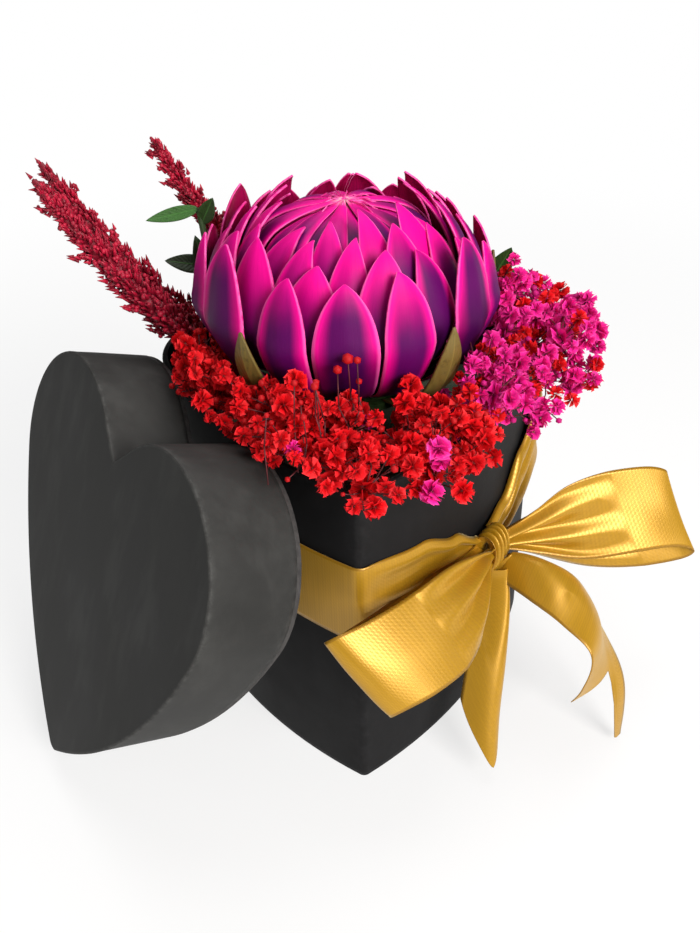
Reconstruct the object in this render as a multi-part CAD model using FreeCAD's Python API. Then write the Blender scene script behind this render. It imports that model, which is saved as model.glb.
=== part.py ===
import FreeCAD, Part
import math
import os

# Heart-shaped flower box: a paper-covered board box with its lid leaning beside it, a ribbon tied in a bow,
# and a protea bloom set in foam among sprays, spikes and leaves. Millimetres, +Z up, heart's tip to -Y.
# The origin lies on the base plane, at the middle of the heart's length and width.

# Box
BOX_HEIGHT = 150.0
SIDE_ANGLE = 56.5        # degrees between the heart's axis and each side at the tip
SIDE_RADIUS = 212.0      # gentle bow of each side
SIDE_LENGTH = 136.0      # along each side, from the sharp tip
LOBE_RADIUS = 41.0
TIP_RADIUS = 3.5
NOTCH_ANGLE = 133.0      # degrees round a lobe where the run into the notch turns straight
BOARD = 2.0
PAPER = 0.3
PAPER_LIFT = 0.5         # bare board below the wrapping paper
SEAT_GAP = 0.1           # room between pieces that only rest on each other

# Lid
LID_DEPTH = 36.6
LID_ROOM = 0.7           # between the lid's inside and the box
LID_TURN = 32.3          # degrees round Z, from facing +X
LID_LEAN = 20.6          # degrees that the lid leans back against the box
LID_ROLL = 0.5
LID_ASIDE = 14.0         # of the lid's axis, sideways from the box's middle
LID_PAPER_SHORT = 2.0    # the paper stops short of the open rim
LEAN_GAP = 0.3

# Dry foam
FOAM_DROP = 32.0         # from the rim down to the foam's top
FOAM_ROOM = 0.3
STEM_SINK = 34.0         # depth of a stem in the foam
STEM_ROOM = 0.15

# Ribbon and bow
RIBBON_WIDTH = 38.0
RIBBON_LEVEL = 98.5      # height of the band's middle
RIBBON_THICKNESS = 0.7
KNOT_ALONG = 76.0        # along the right side from the tip
KNOT_DROP = 9.0          # of the knot's middle below the band's middle
KNOT_LONG = 13.0
KNOT_OUT = 12.0
KNOT_TALL = 19.0
KNOT_BEVEL = 3.0
PINCHED = 9.0            # width of the ribbon where it enters the knot
LAYER_STEP = 5.0         # between a loop's two layers at the knot
LEAD = 3.0               # straight run of the ribbon out of the knot

# Protea
BLOOM_X = -0.8
BLOOM_Y = 12.0
BLOOM_FOOT = 3.0         # of the lowest bract seat above the rim
BLOOM_SHARE = 0.456       # of the side's length, for the bloom's widest radius
BELLY_RISE = 34.0        # from the lowest seat up to the widest level
TIP_RISE = 66.0          # from the lowest seat up to the outer bract tips
TIP_DRAW = 8.0           # tips drawn in from the widest radius
RING_COUNTS = (14, 14, 13, 12)
RING_STEP = 5.4          # each ring of bracts lies this far inside the last
RING_RISE = 2.6          # and its tips this much higher
SEAT_RADIUS = 25.0       # of the lowest bract seat
SEAT_STEP = 4.6
SEAT_RISE = 3.0
BRACT_WIDTH = 23.0
BRACT_NARROWING = 1.5    # of each ring against the last
BRACT_THICKNESS = 1.0
CORE_RADIUS = 37.0
CORE_DROP = 22.0         # from the core's apex to its widest level
CORE_APEX_RISE = 73.0    # above the lowest seat
BASAL_COUNT = 5
BASAL_START = -127.0     # degrees
BASAL_WIDTH = 10.0
BASAL_OUT = 3.0          # outside the outer ring
BASAL_TIP_RISE = 43.0
PROTEA_STEM_RADIUS = 6.0

# Amaranth spikes
SPIKE_STEM_RADIUS = 1.8
SPIKE_TEETH = 12
ROOT_DRAW = 0.8          # a leaning stem's root in the foam, as a share of its reach

# Gypsophila sprays
SPRAY_STEM_RADIUS = 1.0
BRANCH_RADIUS = 0.5
FORK_RADIUS = 1.4
FORK_RISE = 2.6          # of the fork above the rim
FORK_IN = 9.0            # of the fork inside the rim's outline
ROOT_IN = 16.0
BLOSSOM_RADIUS = 4.6

# Leaves
LEAF_STEM_RADIUS = 1.3
LEAF_THICKNESS = 0.8
LAYOUT_SIDE = 136.0      # length of the side that the sprays, spikes and leaves are laid out for

V = FreeCAD.Vector
ORIGIN = V(0, 0, 0)
UP = V(0, 0, 1)


def polar(radius, degrees):
    a = math.radians(degrees)
    return V(radius * math.cos(a), radius * math.sin(a), 0)


# The heart's right half is a tip arc, a side arc and a lobe arc, each tangent to the last
SIDE_CENTRE = V(-SIDE_RADIUS * math.cos(math.radians(SIDE_ANGLE)),
                SIDE_RADIUS * math.sin(math.radians(SIDE_ANGLE)), 0)
SIDE_END = math.degrees(SIDE_LENGTH / SIDE_RADIUS) - SIDE_ANGLE
LOBE_CENTRE = SIDE_CENTRE + polar(SIDE_RADIUS - LOBE_RADIUS, SIDE_END)
TIP_CENTRE_Y = SIDE_CENTRE.y - math.sqrt((SIDE_RADIUS - TIP_RADIUS) ** 2 - SIDE_CENTRE.x ** 2)
TIP_END = math.degrees(math.atan2(TIP_CENTRE_Y - SIDE_CENTRE.y, -SIDE_CENTRE.x))
HEART_MIDDLE = V(0, (TIP_CENTRE_Y - TIP_RADIUS + LOBE_CENTRE.y + LOBE_RADIUS) / 2, 0)


def mirrored(p):
    return V(-p.x, p.y, p.z)


def arc(centre, radius, start, end):
    middle = (start + end) / 2
    return [centre + polar(radius, a) for a in (start, middle, end)]


def heart_wire(offset, bridged=False):
    """The heart's outline, moved outwards by offset. A bridged outline runs straight across the notch."""
    side_radius = SIDE_RADIUS + offset
    tip_radius = TIP_RADIUS + offset
    runs = []
    if tip_radius > BOARD / 4:
        tip = V(0, TIP_CENTRE_Y, 0)
        tip_end = TIP_END
        runs.append([mirrored(tip + polar(tip_radius, tip_end)), tip - V(0, tip_radius, 0),
                     tip + polar(tip_radius, tip_end)])
    else:
        tip_end = -math.degrees(math.acos(-SIDE_CENTRE.x / side_radius))
    right = [arc(SIDE_CENTRE, side_radius, tip_end, SIDE_END)]
    lobe_end = 90.0 if bridged else NOTCH_ANGLE
    right.append(arc(LOBE_CENTRE, LOBE_RADIUS + offset, SIDE_END, lobe_end))
    last = right[-1][2]
    if bridged:
        across = [[last, mirrored(last)]]
    else:
        slope = 1 / math.tan(math.radians(NOTCH_ANGLE))
        notch = V(0, last.y + last.x * slope, 0)
        across = [[last, notch], [notch, mirrored(last)]]
    left = [[mirrored(p) for p in reversed(run)] for run in reversed(right)]
    edges = []
    for run in runs + right + across + left:
        points = [p - HEART_MIDDLE for p in run]
        if len(points) == 3:
            edges.append(Part.Arc(*points).toShape())
        else:
            edges.append(Part.LineSegment(*points).toShape())
    return Part.Wire(edges)


def heart_plate(offset, low, high, bridged=False):
    plate = Part.Face(heart_wire(offset, bridged)).extrude(UP * (high - low))
    plate.translate(UP * low)
    return plate


def heart_ring(outside, inside, low, high, bridged=False):
    return heart_plate(outside, low, high, bridged).cut(heart_plate(inside, low, high, bridged))


def rim_frame(along):
    """A point of the box's outline, along it from the tip (left is negative), its direction and outward normal."""
    run = abs(along)
    if run == 0:
        point, out = V(0, TIP_CENTRE_Y - TIP_RADIUS, 0), V(0, -1, 0)
    elif run <= SIDE_LENGTH:
        out = polar(1, math.degrees(run / SIDE_RADIUS) - SIDE_ANGLE)
        point = SIDE_CENTRE + out * SIDE_RADIUS
    else:
        out = polar(1, SIDE_END + math.degrees((run - SIDE_LENGTH) / LOBE_RADIUS))
        point = LOBE_CENTRE + out * LOBE_RADIUS
    if along < 0:
        point, out = mirrored(point), mirrored(out)
    return point - HEART_MIDDLE, UP.cross(out), out


def rod(start, end, radius):
    return Part.makeCylinder(radius, (end - start).Length, start, end - start)


def revolved(profile):
    """A solid turned about the Z axis from a profile of (radius, height) points that starts and ends on the axis."""
    points = [V(r, 0, z) for r, z in profile]
    return Part.Face(Part.makePolygon(points + points[:1])).revolve(ORIGIN, UP, 360)


def ruled_solid(sections):
    """A closed solid with straight lines between sections of four corners each."""
    faces = [Part.Face(Part.makePolygon(s + s[:1])) for s in (sections[0], sections[-1])]
    for low, high in zip(sections, sections[1:]):
        for i in range(4):
            j = (i + 1) % 4
            faces.append(Part.makeRuledSurface(Part.makeLine(low[i], low[j]), Part.makeLine(high[i], high[j])))
    shell = Part.makeShell(faces)
    shell.sewShape()
    solid = Part.makeSolid(shell)
    if solid.Volume < 0:
        solid.reverse()
    return solid


def rectangle(middle, half_width, half_thickness):
    return [middle + half_width + half_thickness, middle - half_width + half_thickness,
            middle - half_width - half_thickness, middle + half_width - half_thickness]


def strip(stations, thickness):
    """A flat strip through stations of (middle, width direction, width)."""
    middles = [s[0] for s in stations]
    sections = []
    for i, (middle, across, width) in enumerate(stations):
        run = middles[min(i + 1, len(middles) - 1)] - middles[max(i - 1, 0)]
        across = V(across).normalize()
        face = run.cross(across).normalize()
        sections.append(rectangle(middle, across * (width / 2), face * (thickness / 2)))
    return ruled_solid(sections)


# Box, lid and foam

SKIN = -PAPER
INNER = SKIN - BOARD
FOAM_TOP = BOX_HEIGHT - FOAM_DROP


def make_box():
    return {
        "box_wall": heart_ring(SKIN, INNER, 0, BOX_HEIGHT),
        "box_base": heart_plate(INNER - SEAT_GAP, 0, BOARD),
        "box_wrap": heart_ring(0, SKIN, PAPER_LIFT, BOX_HEIGHT),
    }


def make_lid(stands_by):
    """The lid on its tip, leaning on the box, with its open side to it."""
    inner = LID_ROOM
    outer = inner + BOARD
    pieces = {
        "lid_wall": heart_ring(outer, inner, PAPER, LID_DEPTH),
        "lid_top": heart_plate(inner - SEAT_GAP, PAPER, PAPER + BOARD),
        "lid_wrap": heart_plate(outer + PAPER, 0, LID_DEPTH - LID_PAPER_SHORT).cut(
            heart_plate(outer, PAPER, LID_DEPTH)),
    }
    toward = polar(1, LID_TURN)
    aside = polar(1, LID_TURN + 90)
    for piece in pieces.values():
        piece.rotate(ORIGIN, V(1, 1, 1), 120)
        piece.rotate(ORIGIN, V(1, 0, 0), LID_ROLL)
        piece.rotate(ORIGIN, V(0, 1, 0), LID_LEAN)
        piece.rotate(ORIGIN, UP, LID_TURN)
    floor = min(piece.BoundBox.ZMin for piece in pieces.values())
    start = aside * LID_ASIDE - toward * (2 * SIDE_LENGTH) - UP * floor
    for piece in pieces.values():
        piece.translate(start)
    rim = Part.makeCompound([pieces["lid_wall"], pieces["lid_wrap"]])
    for _ in range(30):
        room = rim.distToShape(stands_by)[0] - LEAN_GAP
        if room < SEAT_GAP / 10:
            break
        for piece in list(pieces.values()) + [rim]:
            piece.translate(toward * room)
    return pieces


# Ribbon

KNOT_FOOT, KNOT_ALONG_AXIS, KNOT_OUT_AXIS = rim_frame(KNOT_ALONG)
KNOT_FOOT = KNOT_FOOT + UP * (RIBBON_LEVEL - KNOT_DROP)
BAND_IN = SEAT_GAP
BAND_OUT = BAND_IN + RIBBON_THICKNESS
KNOT_BACK = BAND_OUT + SEAT_GAP
KNOT_MIDDLE_OUT = KNOT_BACK + KNOT_OUT / 2


def from_knot(along, out, up):
    """A point given along the side, outwards from it and up, from the knot's foot on the box."""
    return KNOT_FOOT + KNOT_ALONG_AXIS * along + KNOT_OUT_AXIS * out + UP * up


def way(along, out, up):
    return from_knot(along, out, up) - KNOT_FOOT


def make_knot():
    block = Part.makeBox(KNOT_LONG, KNOT_OUT, KNOT_TALL, V(-KNOT_LONG / 2, KNOT_BACK, -KNOT_TALL / 2))
    block = block.makeChamfer(KNOT_BEVEL, block.Edges)
    turn = FreeCAD.Rotation(V(0, 1, 0), KNOT_OUT_AXIS)
    block.Placement = FreeCAD.Placement(KNOT_FOOT, turn)
    return block


def make_ribbon():
    half = RIBBON_WIDTH / 2
    band = heart_ring(BAND_OUT, BAND_IN, RIBBON_LEVEL - half, RIBBON_LEVEL + half, bridged=True)
    side = KNOT_LONG / 2 + SEAT_GAP
    bottom = -KNOT_TALL / 2 - SEAT_GAP
    step = LAYER_STEP / 2
    mid = KNOT_MIDDLE_OUT
    full = RIBBON_WIDTH
    lead = side + LEAD
    left_across = way(0.135, 0.68, -0.72)
    left = strip([
        (from_knot(-side, mid + step, 1), way(0, 0, -1), PINCHED),
        (from_knot(-lead, mid + step, 1), way(0, 0, -1), PINCHED),
        (from_knot(-34, mid + 8, 1.5), way(0.07, 0.45, -0.9), 0.78 * full),
        (from_knot(-62, mid + 8, 0), way(0.12, 0.6, -0.78), full),
        (from_knot(-84, mid + 3, -1), left_across, full),
        (from_knot(-94, mid - 4, -3), left_across, full),
        (from_knot(-93, mid - 7, -7), left_across, full),
        (from_knot(-82, mid - 5, -10), left_across, full),
        (from_knot(-60, mid - 2, -10), way(0.12, 0.55, -0.8), full),
        (from_knot(-32, mid - 1, -5), way(0.07, 0.35, -0.92), 0.65 * full),
        (from_knot(-lead, mid - step, -1), way(0, 0, -1), PINCHED),
        (from_knot(-side, mid - step, -1), way(0, 0, -1), PINCHED),
    ], RIBBON_THICKNESS)
    right_across = way(-0.13, 0.51, -0.85)
    right = strip([
        (from_knot(side, mid + step, 1), way(0, 0, -1), PINCHED),
        (from_knot(lead, mid + step + 1, 1), way(0, 0, -1), PINCHED),
        (from_knot(28, mid + 24, 7), way(-0.1, 0.4, -0.9), 0.8 * full),
        (from_knot(44, mid + 40, 9), right_across, full),
        (from_knot(58, mid + 52, 6), right_across, full),
        (from_knot(63, mid + 55, 2), right_across, full),
        (from_knot(61, mid + 50, -3), right_across, full),
        (from_knot(47, mid + 34, -4), right_across, full),
        (from_knot(28, mid + 14, -2), way(-0.1, 0.4, -0.9), 0.7 * full),
        (from_knot(lead, mid - step, -1), way(0, 0, -1), PINCHED),
        (from_knot(side, mid - step, -1), way(0, 0, -1), PINCHED),
    ], RIBBON_THICKNESS)
    front_tail = strip([
        (from_knot(-2, mid - 1, bottom), way(1, 0, 0), PINCHED),
        (from_knot(-2, mid - 1, bottom - LEAD), way(1, 0, 0), PINCHED),
        (from_knot(-10, mid + 5, -34), way(1, 0.1, 0), 0.55 * full),
        (from_knot(-22, mid + 10.5, -60), way(1, 0.3, 0), 0.6 * full),
        (from_knot(-39, mid + 17.5, -84), way(1, 0.3, 0), 0.1 * full),
    ], RIBBON_THICKNESS)
    right_tail = strip([
        (from_knot(2, mid + 2, bottom), way(1, 0, 0), 0.7 * PINCHED),
        (from_knot(2, mid + 2, bottom - LEAD), way(1, 0, 0), 0.7 * PINCHED),
        (from_knot(3, mid + 20, -16), way(1, -0.1, 0.05), 0.45 * full),
        (from_knot(3, mid + 35, -19), way(0.95, -0.05, 0.2), 0.48 * full),
        (from_knot(1.5, mid + 45, -28), way(0.8, 0.3, 0.3), 0.45 * full),
        (from_knot(-1, mid + 50, -44), way(0.5, 0.75, 0.3), 0.5 * full),
        (from_knot(-3, mid + 52, -60), way(0.3, 0.9, 0.3), 0.56 * full),
        (from_knot(-4, mid + 59, -84), way(0.3, 0.9, 0.3), 0.12 * full),
    ], RIBBON_THICKNESS)
    return {
        "ribbon_band": band,
        "bow_knot": make_knot(),
        "bow_loop_left": left,
        "bow_loop_right": right,
        "ribbon_tail_front": front_tail,
        "ribbon_tail_right": right_tail,
    }


# Protea

SEAT_LEVEL = BOX_HEIGHT + BLOOM_FOOT
BLOOM_RADIUS = BLOOM_SHARE * SIDE_LENGTH


def ring_meridian(ring):
    """(radius, height, share of the width) of a ring's bracts, from the seat up to the tip."""
    inward = ring * RING_STEP
    seat = SEAT_RADIUS - ring * SEAT_STEP
    foot = SEAT_LEVEL + ring * SEAT_RISE
    belly = BLOOM_RADIUS - inward
    belly_level = SEAT_LEVEL + BELLY_RISE + ring * RING_RISE
    tip_level = SEAT_LEVEL + TIP_RISE + ring * RING_RISE
    tip = belly - TIP_DRAW
    rise = belly_level - foot
    flare = belly - seat
    crown = tip_level - belly_level
    return [
        (seat, foot, 0.3),
        (seat + 0.34 * flare, foot + 0.14 * rise, 0.5),
        (seat + 0.74 * flare, foot + 0.46 * rise, 0.8),
        (belly, belly_level, 1.0),
        (belly - 0.1 * TIP_DRAW, belly_level + 0.4 * crown, 0.85),
        (belly - 0.5 * TIP_DRAW, belly_level + 0.76 * crown, 0.5),
        (tip, tip_level, 0.06),
    ]


def bract(meridian, width, thickness):
    """One bract standing over the X axis: flat rectangles along its meridian, the lowest one level."""
    sections = []
    for i, (radius, height, share) in enumerate(meridian):
        if i == 0:
            face = V(1, 0, 0)
        else:
            low, high = meridian[i - 1], meridian[min(i + 1, len(meridian) - 1)]
            face = V(high[1] - low[1], 0, low[0] - high[0]).normalize()
        sections.append(rectangle(V(radius, 0, height), V(0, share * width / 2, 0), face * (thickness / 2)))
    return ruled_solid(sections)


def around_bloom(piece, count, start):
    pieces = []
    for i in range(count):
        turned = piece.copy()
        turned.rotate(ORIGIN, UP, start + 360.0 * i / count)
        turned.translate(V(BLOOM_X, BLOOM_Y, 0))
        pieces.append(turned)
    return Part.makeCompound(pieces)


def make_protea():
    rings = len(RING_COUNTS)
    nodes = {}
    ledge = BRACT_THICKNESS
    basal_seat = SEAT_RADIUS + SEAT_STEP
    basal_level = SEAT_LEVEL - SEAT_RISE
    core_foot = SEAT_LEVEL + rings * SEAT_RISE
    core_foot_radius = SEAT_RADIUS - rings * SEAT_STEP + ledge
    foot_level = basal_level - SEAT_RISE
    profile = [(0, foot_level), (basal_seat + ledge, foot_level), (basal_seat + ledge, basal_level)]
    for ring in range(rings):
        riser = SEAT_RADIUS - ring * SEAT_STEP + 2 * ledge
        profile.append((riser, SEAT_LEVEL + (ring - 1) * SEAT_RISE))
        profile.append((riser, SEAT_LEVEL + ring * SEAT_RISE))
    profile += [(core_foot_radius, core_foot - SEAT_RISE), (core_foot_radius, core_foot), (0, core_foot)]
    receptacle = revolved(profile)
    receptacle.translate(V(BLOOM_X, BLOOM_Y, 0))
    nodes["protea_receptacle"] = receptacle
    for ring, count in enumerate(RING_COUNTS):
        piece = bract(ring_meridian(ring), BRACT_WIDTH - ring * BRACT_NARROWING, BRACT_THICKNESS)
        start = -90 + (ring % 2) * 180.0 / count
        nodes["protea_bracts_%d" % (ring + 1)] = around_bloom(piece, count, start)
    apex = SEAT_LEVEL + CORE_APEX_RISE
    wide = apex - CORE_DROP
    waist = wide - core_foot
    core = revolved([
        (0, core_foot), (core_foot_radius, core_foot), (0.45 * CORE_RADIUS, core_foot + 0.35 * waist),
        (0.86 * CORE_RADIUS, core_foot + 0.78 * waist), (CORE_RADIUS, wide),
        (0.93 * CORE_RADIUS, wide + 0.33 * CORE_DROP), (0.7 * CORE_RADIUS, wide + 0.68 * CORE_DROP),
        (0.36 * CORE_RADIUS, wide + 0.91 * CORE_DROP), (0, apex)])
    core.translate(V(BLOOM_X, BLOOM_Y, 0))
    nodes["protea_core"] = core
    outer = BLOOM_RADIUS + BASAL_OUT
    tip_level = SEAT_LEVEL + BASAL_TIP_RISE
    basal = bract([
        (basal_seat, basal_level, 0.6),
        (basal_seat + 0.4 * (outer - basal_seat), basal_level + 0.12 * BELLY_RISE, 0.8),
        (basal_seat + 0.8 * (outer - basal_seat), basal_level + 0.5 * BELLY_RISE, 1.0),
        (outer, SEAT_LEVEL + BELLY_RISE, 0.7),
        (outer, tip_level, 0.1)], BASAL_WIDTH, BRACT_THICKNESS)
    nodes["protea_basal_bracts"] = around_bloom(basal, BASAL_COUNT, BASAL_START)
    stem_foot = V(BLOOM_X, BLOOM_Y, FOAM_TOP - STEM_SINK)
    stem_top = V(BLOOM_X, BLOOM_Y, foot_level)
    nodes["protea_stem"] = rod(stem_foot, stem_top, PROTEA_STEM_RADIUS)
    return nodes, [(stem_foot, stem_top, PROTEA_STEM_RADIUS)]


SPREAD = SIDE_LENGTH / LAYOUT_SIDE


def spot(x, y, rise):
    """A point of the layout, drawn in or out with the heart, at a height over the rim."""
    return V(x * SPREAD, y * SPREAD, BOX_HEIGHT + rise)


# Amaranth spikes, each (where its flowers start, its tip, its widest radius)

SPIKES = {
    "amaranth_spike_front": (spot(-67, 23, 10), spot(-124, 27, 83), 8.0),
    "amaranth_spike_middle": (spot(-67, 41, 5), spot(-125, 43, 85), 8.0),
    "amaranth_spike_back": (spot(-52, 62, 40), spot(-82, 66, 87), 5.0),
}


def make_spike(start, tip, radius):
    """A stem and a spindle of overlapping whorls, each whorl a short cone that points up the spike."""
    axis = (tip - start).normalize()
    length = (tip - start).Length
    root = V(ROOT_DRAW * start.x, ROOT_DRAW * start.y, FOAM_TOP - STEM_SINK)
    pitch = length / SPIKE_TEETH
    profile = [(0, 0)]
    for i in range(SPIKE_TEETH):
        wide = SPREAD * radius * min(0.7 + i / 4, 1.25 - i / SPIKE_TEETH)
        profile += [(0.72 * wide, i * pitch), (wide, (i + 0.8) * pitch)]
    profile.append((0, length))
    body = revolved(profile)
    body.Placement = FreeCAD.Placement(start, FreeCAD.Rotation(UP, axis))
    end = start + axis * pitch
    return rod(root, end, SPIKE_STEM_RADIUS).fuse(body).removeSplitter(), (root, end, SPIKE_STEM_RADIUS)


# Gypsophila: each blossom is (along the rim from its spray's place, out from the rim, up from the rim)

OVER_RIM = ((-11, -6, 9), (1, -8, 12), (11, -6, 8), (-5, 3, 11), (6, 3, 12), (-12, 9, 3), (1, 11, 2), (11, 9, 4))
IN_RIM = ((-13, -6, 8), (0.3, -7, 9), (13, -6, 9), (-7, -5.5, 20), (7, -5.5, 19), (-7, -15, 6), (7, -15, 5))
LOW_RIM = ((-8, -7, 7), (1, -6, 12), (9, -7, 6), (-6, -16, 5), (6, -16, 4))
AT_TIP = ((-13, -32, 14), (0, -31, 16), (13, -32, 13), (-8, -21, 11), (8, -21, 12), (0, -12, 9), (1, 2, 5))
PINK_FRONT = ((-12, -5, 8), (1, -8, 11), (-1, -5, 25), (5, 3, 9), (15, 4, 10), (14, 15, 3), (-7, 6, 17))
PINK_SIDE = ((-12, 0, 11), (1, -9, 20), (4, -1, 11), (14, -2, 9), (-4, 8, 10), (5, 13, 20), (1, 21, 2))
PINK_BACK = ((-12, -19, 30), (-9, -14, 21), (-12, -5, 14), (-8, 4, 9), (-5, 15, 10), (5, -3, 12), (10, 8, 6))
SPRAYS = {
    "red_spray_left": (-115.5, LOW_RIM),
    "red_spray_middle": (-83.4, IN_RIM),
    "red_spray_left_front": (-46, IN_RIM),
    "red_spray_tip": (0, AT_TIP),
    "red_spray_right": (38, OVER_RIM),
    "pink_spray_front": (72, PINK_FRONT),
    "pink_spray_side": (110, PINK_SIDE),
    "pink_spray_back": (148, PINK_BACK),
}


def make_spray(place, tuft):
    """A forked spray, made with +X out from the rim and +Y along it, sized with the heart and set on the rim."""
    fork = V(-FORK_IN, 0, FORK_RISE)
    root = V(-ROOT_IN, 0, -FOAM_DROP - STEM_SINK)
    pieces = [Part.makeSphere(FORK_RADIUS, fork)]
    for along, out, up in tuft:
        blossom = V(out, along, up)
        pieces.append(Part.makeSphere(BLOSSOM_RADIUS, blossom))
        pieces.append(rod(fork, blossom, BRANCH_RADIUS))
    spray = rod(root, fork, SPRAY_STEM_RADIUS).multiFuse(pieces).scaled(SPREAD)
    point, along_axis, out_axis = rim_frame(place * SPREAD)
    turn = FreeCAD.Placement(point + UP * BOX_HEIGHT, FreeCAD.Rotation(V(1, 0, 0), out_axis))
    spray.Placement = turn
    return spray, (turn.multVec(root * SPREAD), turn.multVec(fork * SPREAD), SPRAY_STEM_RADIUS * SPREAD)


# Leaf sprigs: the stem's end, and each leaf as (its base along the stem, its tip, its width)

SPRIGS = {
    "leaf_sprig_left": (spot(-63, 49, 62), ((1.0, spot(-86, 47, 58), 9.0), (0.8, spot(-80, 46, 40), 8.0),
                                            (0.62, spot(-66, 49, 50), 12.0))),
    "leaf_sprig_right": (spot(64, 46, 25), ((1.0, spot(71, 38, 44), 10.0), (0.8, spot(76, 50, 30), 9.0))),
}


def make_sprig(end, leaves):
    root = V(ROOT_DRAW * end.x, ROOT_DRAW * end.y, FOAM_TOP - STEM_SINK)
    sprig = rod(root, end, LEAF_STEM_RADIUS)
    for share, tip, width in leaves:
        base = root + (end - root) * share
        run = tip - base
        across = run.cross(V(0.2, -1, 0.6))
        sprig = sprig.fuse(strip([(base - run * 0.03, across, 0.2 * width), (base + run * 0.3, across, 0.9 * width),
                                  (base + run * 0.6, across, width), (tip, across, 0.1 * width)], LEAF_THICKNESS))
    return sprig.removeSplitter(), (root, end, LEAF_STEM_RADIUS)


def make_foam(stems):
    foam = heart_plate(INNER - FOAM_ROOM, BOARD, FOAM_TOP)
    holes = [rod(foot, top, radius + STEM_ROOM) for foot, top, radius in stems]
    return {"foam_block": foam.cut(holes)}


def main():
    nodes = make_box()
    ribbon = make_ribbon()
    nodes.update(ribbon)
    protea, stems = make_protea()
    nodes.update(protea)
    for name, spike in SPIKES.items():
        nodes[name], stem = make_spike(*spike)
        stems.append(stem)
    for name, spray in SPRAYS.items():
        nodes[name], stem = make_spray(*spray)
        stems.append(stem)
    for name, sprig in SPRIGS.items():
        nodes[name], stem = make_sprig(*sprig)
        stems.append(stem)
    nodes.update(make_foam(stems))
    nodes.update(make_lid(Part.makeCompound([nodes["box_wrap"], ribbon["ribbon_band"]])))
    os.makedirs("parts", exist_ok=True)
    for name, shape in nodes.items():
        if not shape.isValid():
            raise ValueError(name + " is not a valid solid")
        shape.exportStep("parts/%s.step" % name)
        box = shape.BoundBox
        print("%-24s solids %3d volume %10.1f  x %7.1f %7.1f  y %7.1f %7.1f  z %7.1f %7.1f" % (
            name, len(shape.Solids), shape.Volume, box.XMin, box.XMax, box.YMin, box.YMax, box.ZMin, box.ZMax))


main()
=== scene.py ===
import math
import random

import bmesh
import bpy
from bpy.props import FloatProperty, FloatVectorProperty, IntProperty, PointerProperty
from mathutils import Matrix, Vector, noise
from mathutils.bvhtree import BVHTree


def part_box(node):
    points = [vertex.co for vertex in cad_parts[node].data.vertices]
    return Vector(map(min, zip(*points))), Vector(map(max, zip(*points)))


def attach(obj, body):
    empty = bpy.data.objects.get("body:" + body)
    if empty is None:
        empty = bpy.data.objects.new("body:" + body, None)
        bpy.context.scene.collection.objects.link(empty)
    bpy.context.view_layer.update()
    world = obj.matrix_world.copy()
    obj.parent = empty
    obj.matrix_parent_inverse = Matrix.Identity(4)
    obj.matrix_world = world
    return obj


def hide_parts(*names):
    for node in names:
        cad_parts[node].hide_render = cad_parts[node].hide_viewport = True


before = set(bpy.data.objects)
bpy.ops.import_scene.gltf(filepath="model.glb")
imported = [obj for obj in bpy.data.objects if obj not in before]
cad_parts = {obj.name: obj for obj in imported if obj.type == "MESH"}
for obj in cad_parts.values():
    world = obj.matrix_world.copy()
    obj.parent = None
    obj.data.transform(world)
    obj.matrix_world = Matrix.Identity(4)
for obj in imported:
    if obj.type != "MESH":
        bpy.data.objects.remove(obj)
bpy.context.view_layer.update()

bl_info = {
    "name": "Heart Flower Box",
    "version": (1, 0, 0),
    "blender": (4, 5, 0),
    "location": "View3D > Sidebar > Flower Box",
    "description": "Dresses a heart-shaped flower box with its lid, ribbon bow, protea and gypsophila",
    "category": "Object",
}

MM = 0.001
UP = Vector((0, 0, 1))
# radians from one petal or floret to the next, and a whole turn to draw from
GOLDEN_TURN = 2.39996
ANY_TURN = 6.28
RIBBON_THICK = 0.00035
# of stems: depth of their ends below the rim, how far in these are, tone
STEM_DEPTH = 0.066
STEM_DRAW = 0.8
STEM_TONE = 0.3


def length_prop(name, description, default):
    return FloatProperty(name=name, description=description, default=default, unit="LENGTH", precision=5)


def angle_prop(name, description, degrees):
    return FloatProperty(name=name, description=description, default=math.radians(degrees), subtype="ANGLE")


def colour_prop(name, description, default):
    return FloatVectorProperty(name=name, description=description, default=default, subtype="COLOR",
                               size=3, min=0, max=1)


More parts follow.
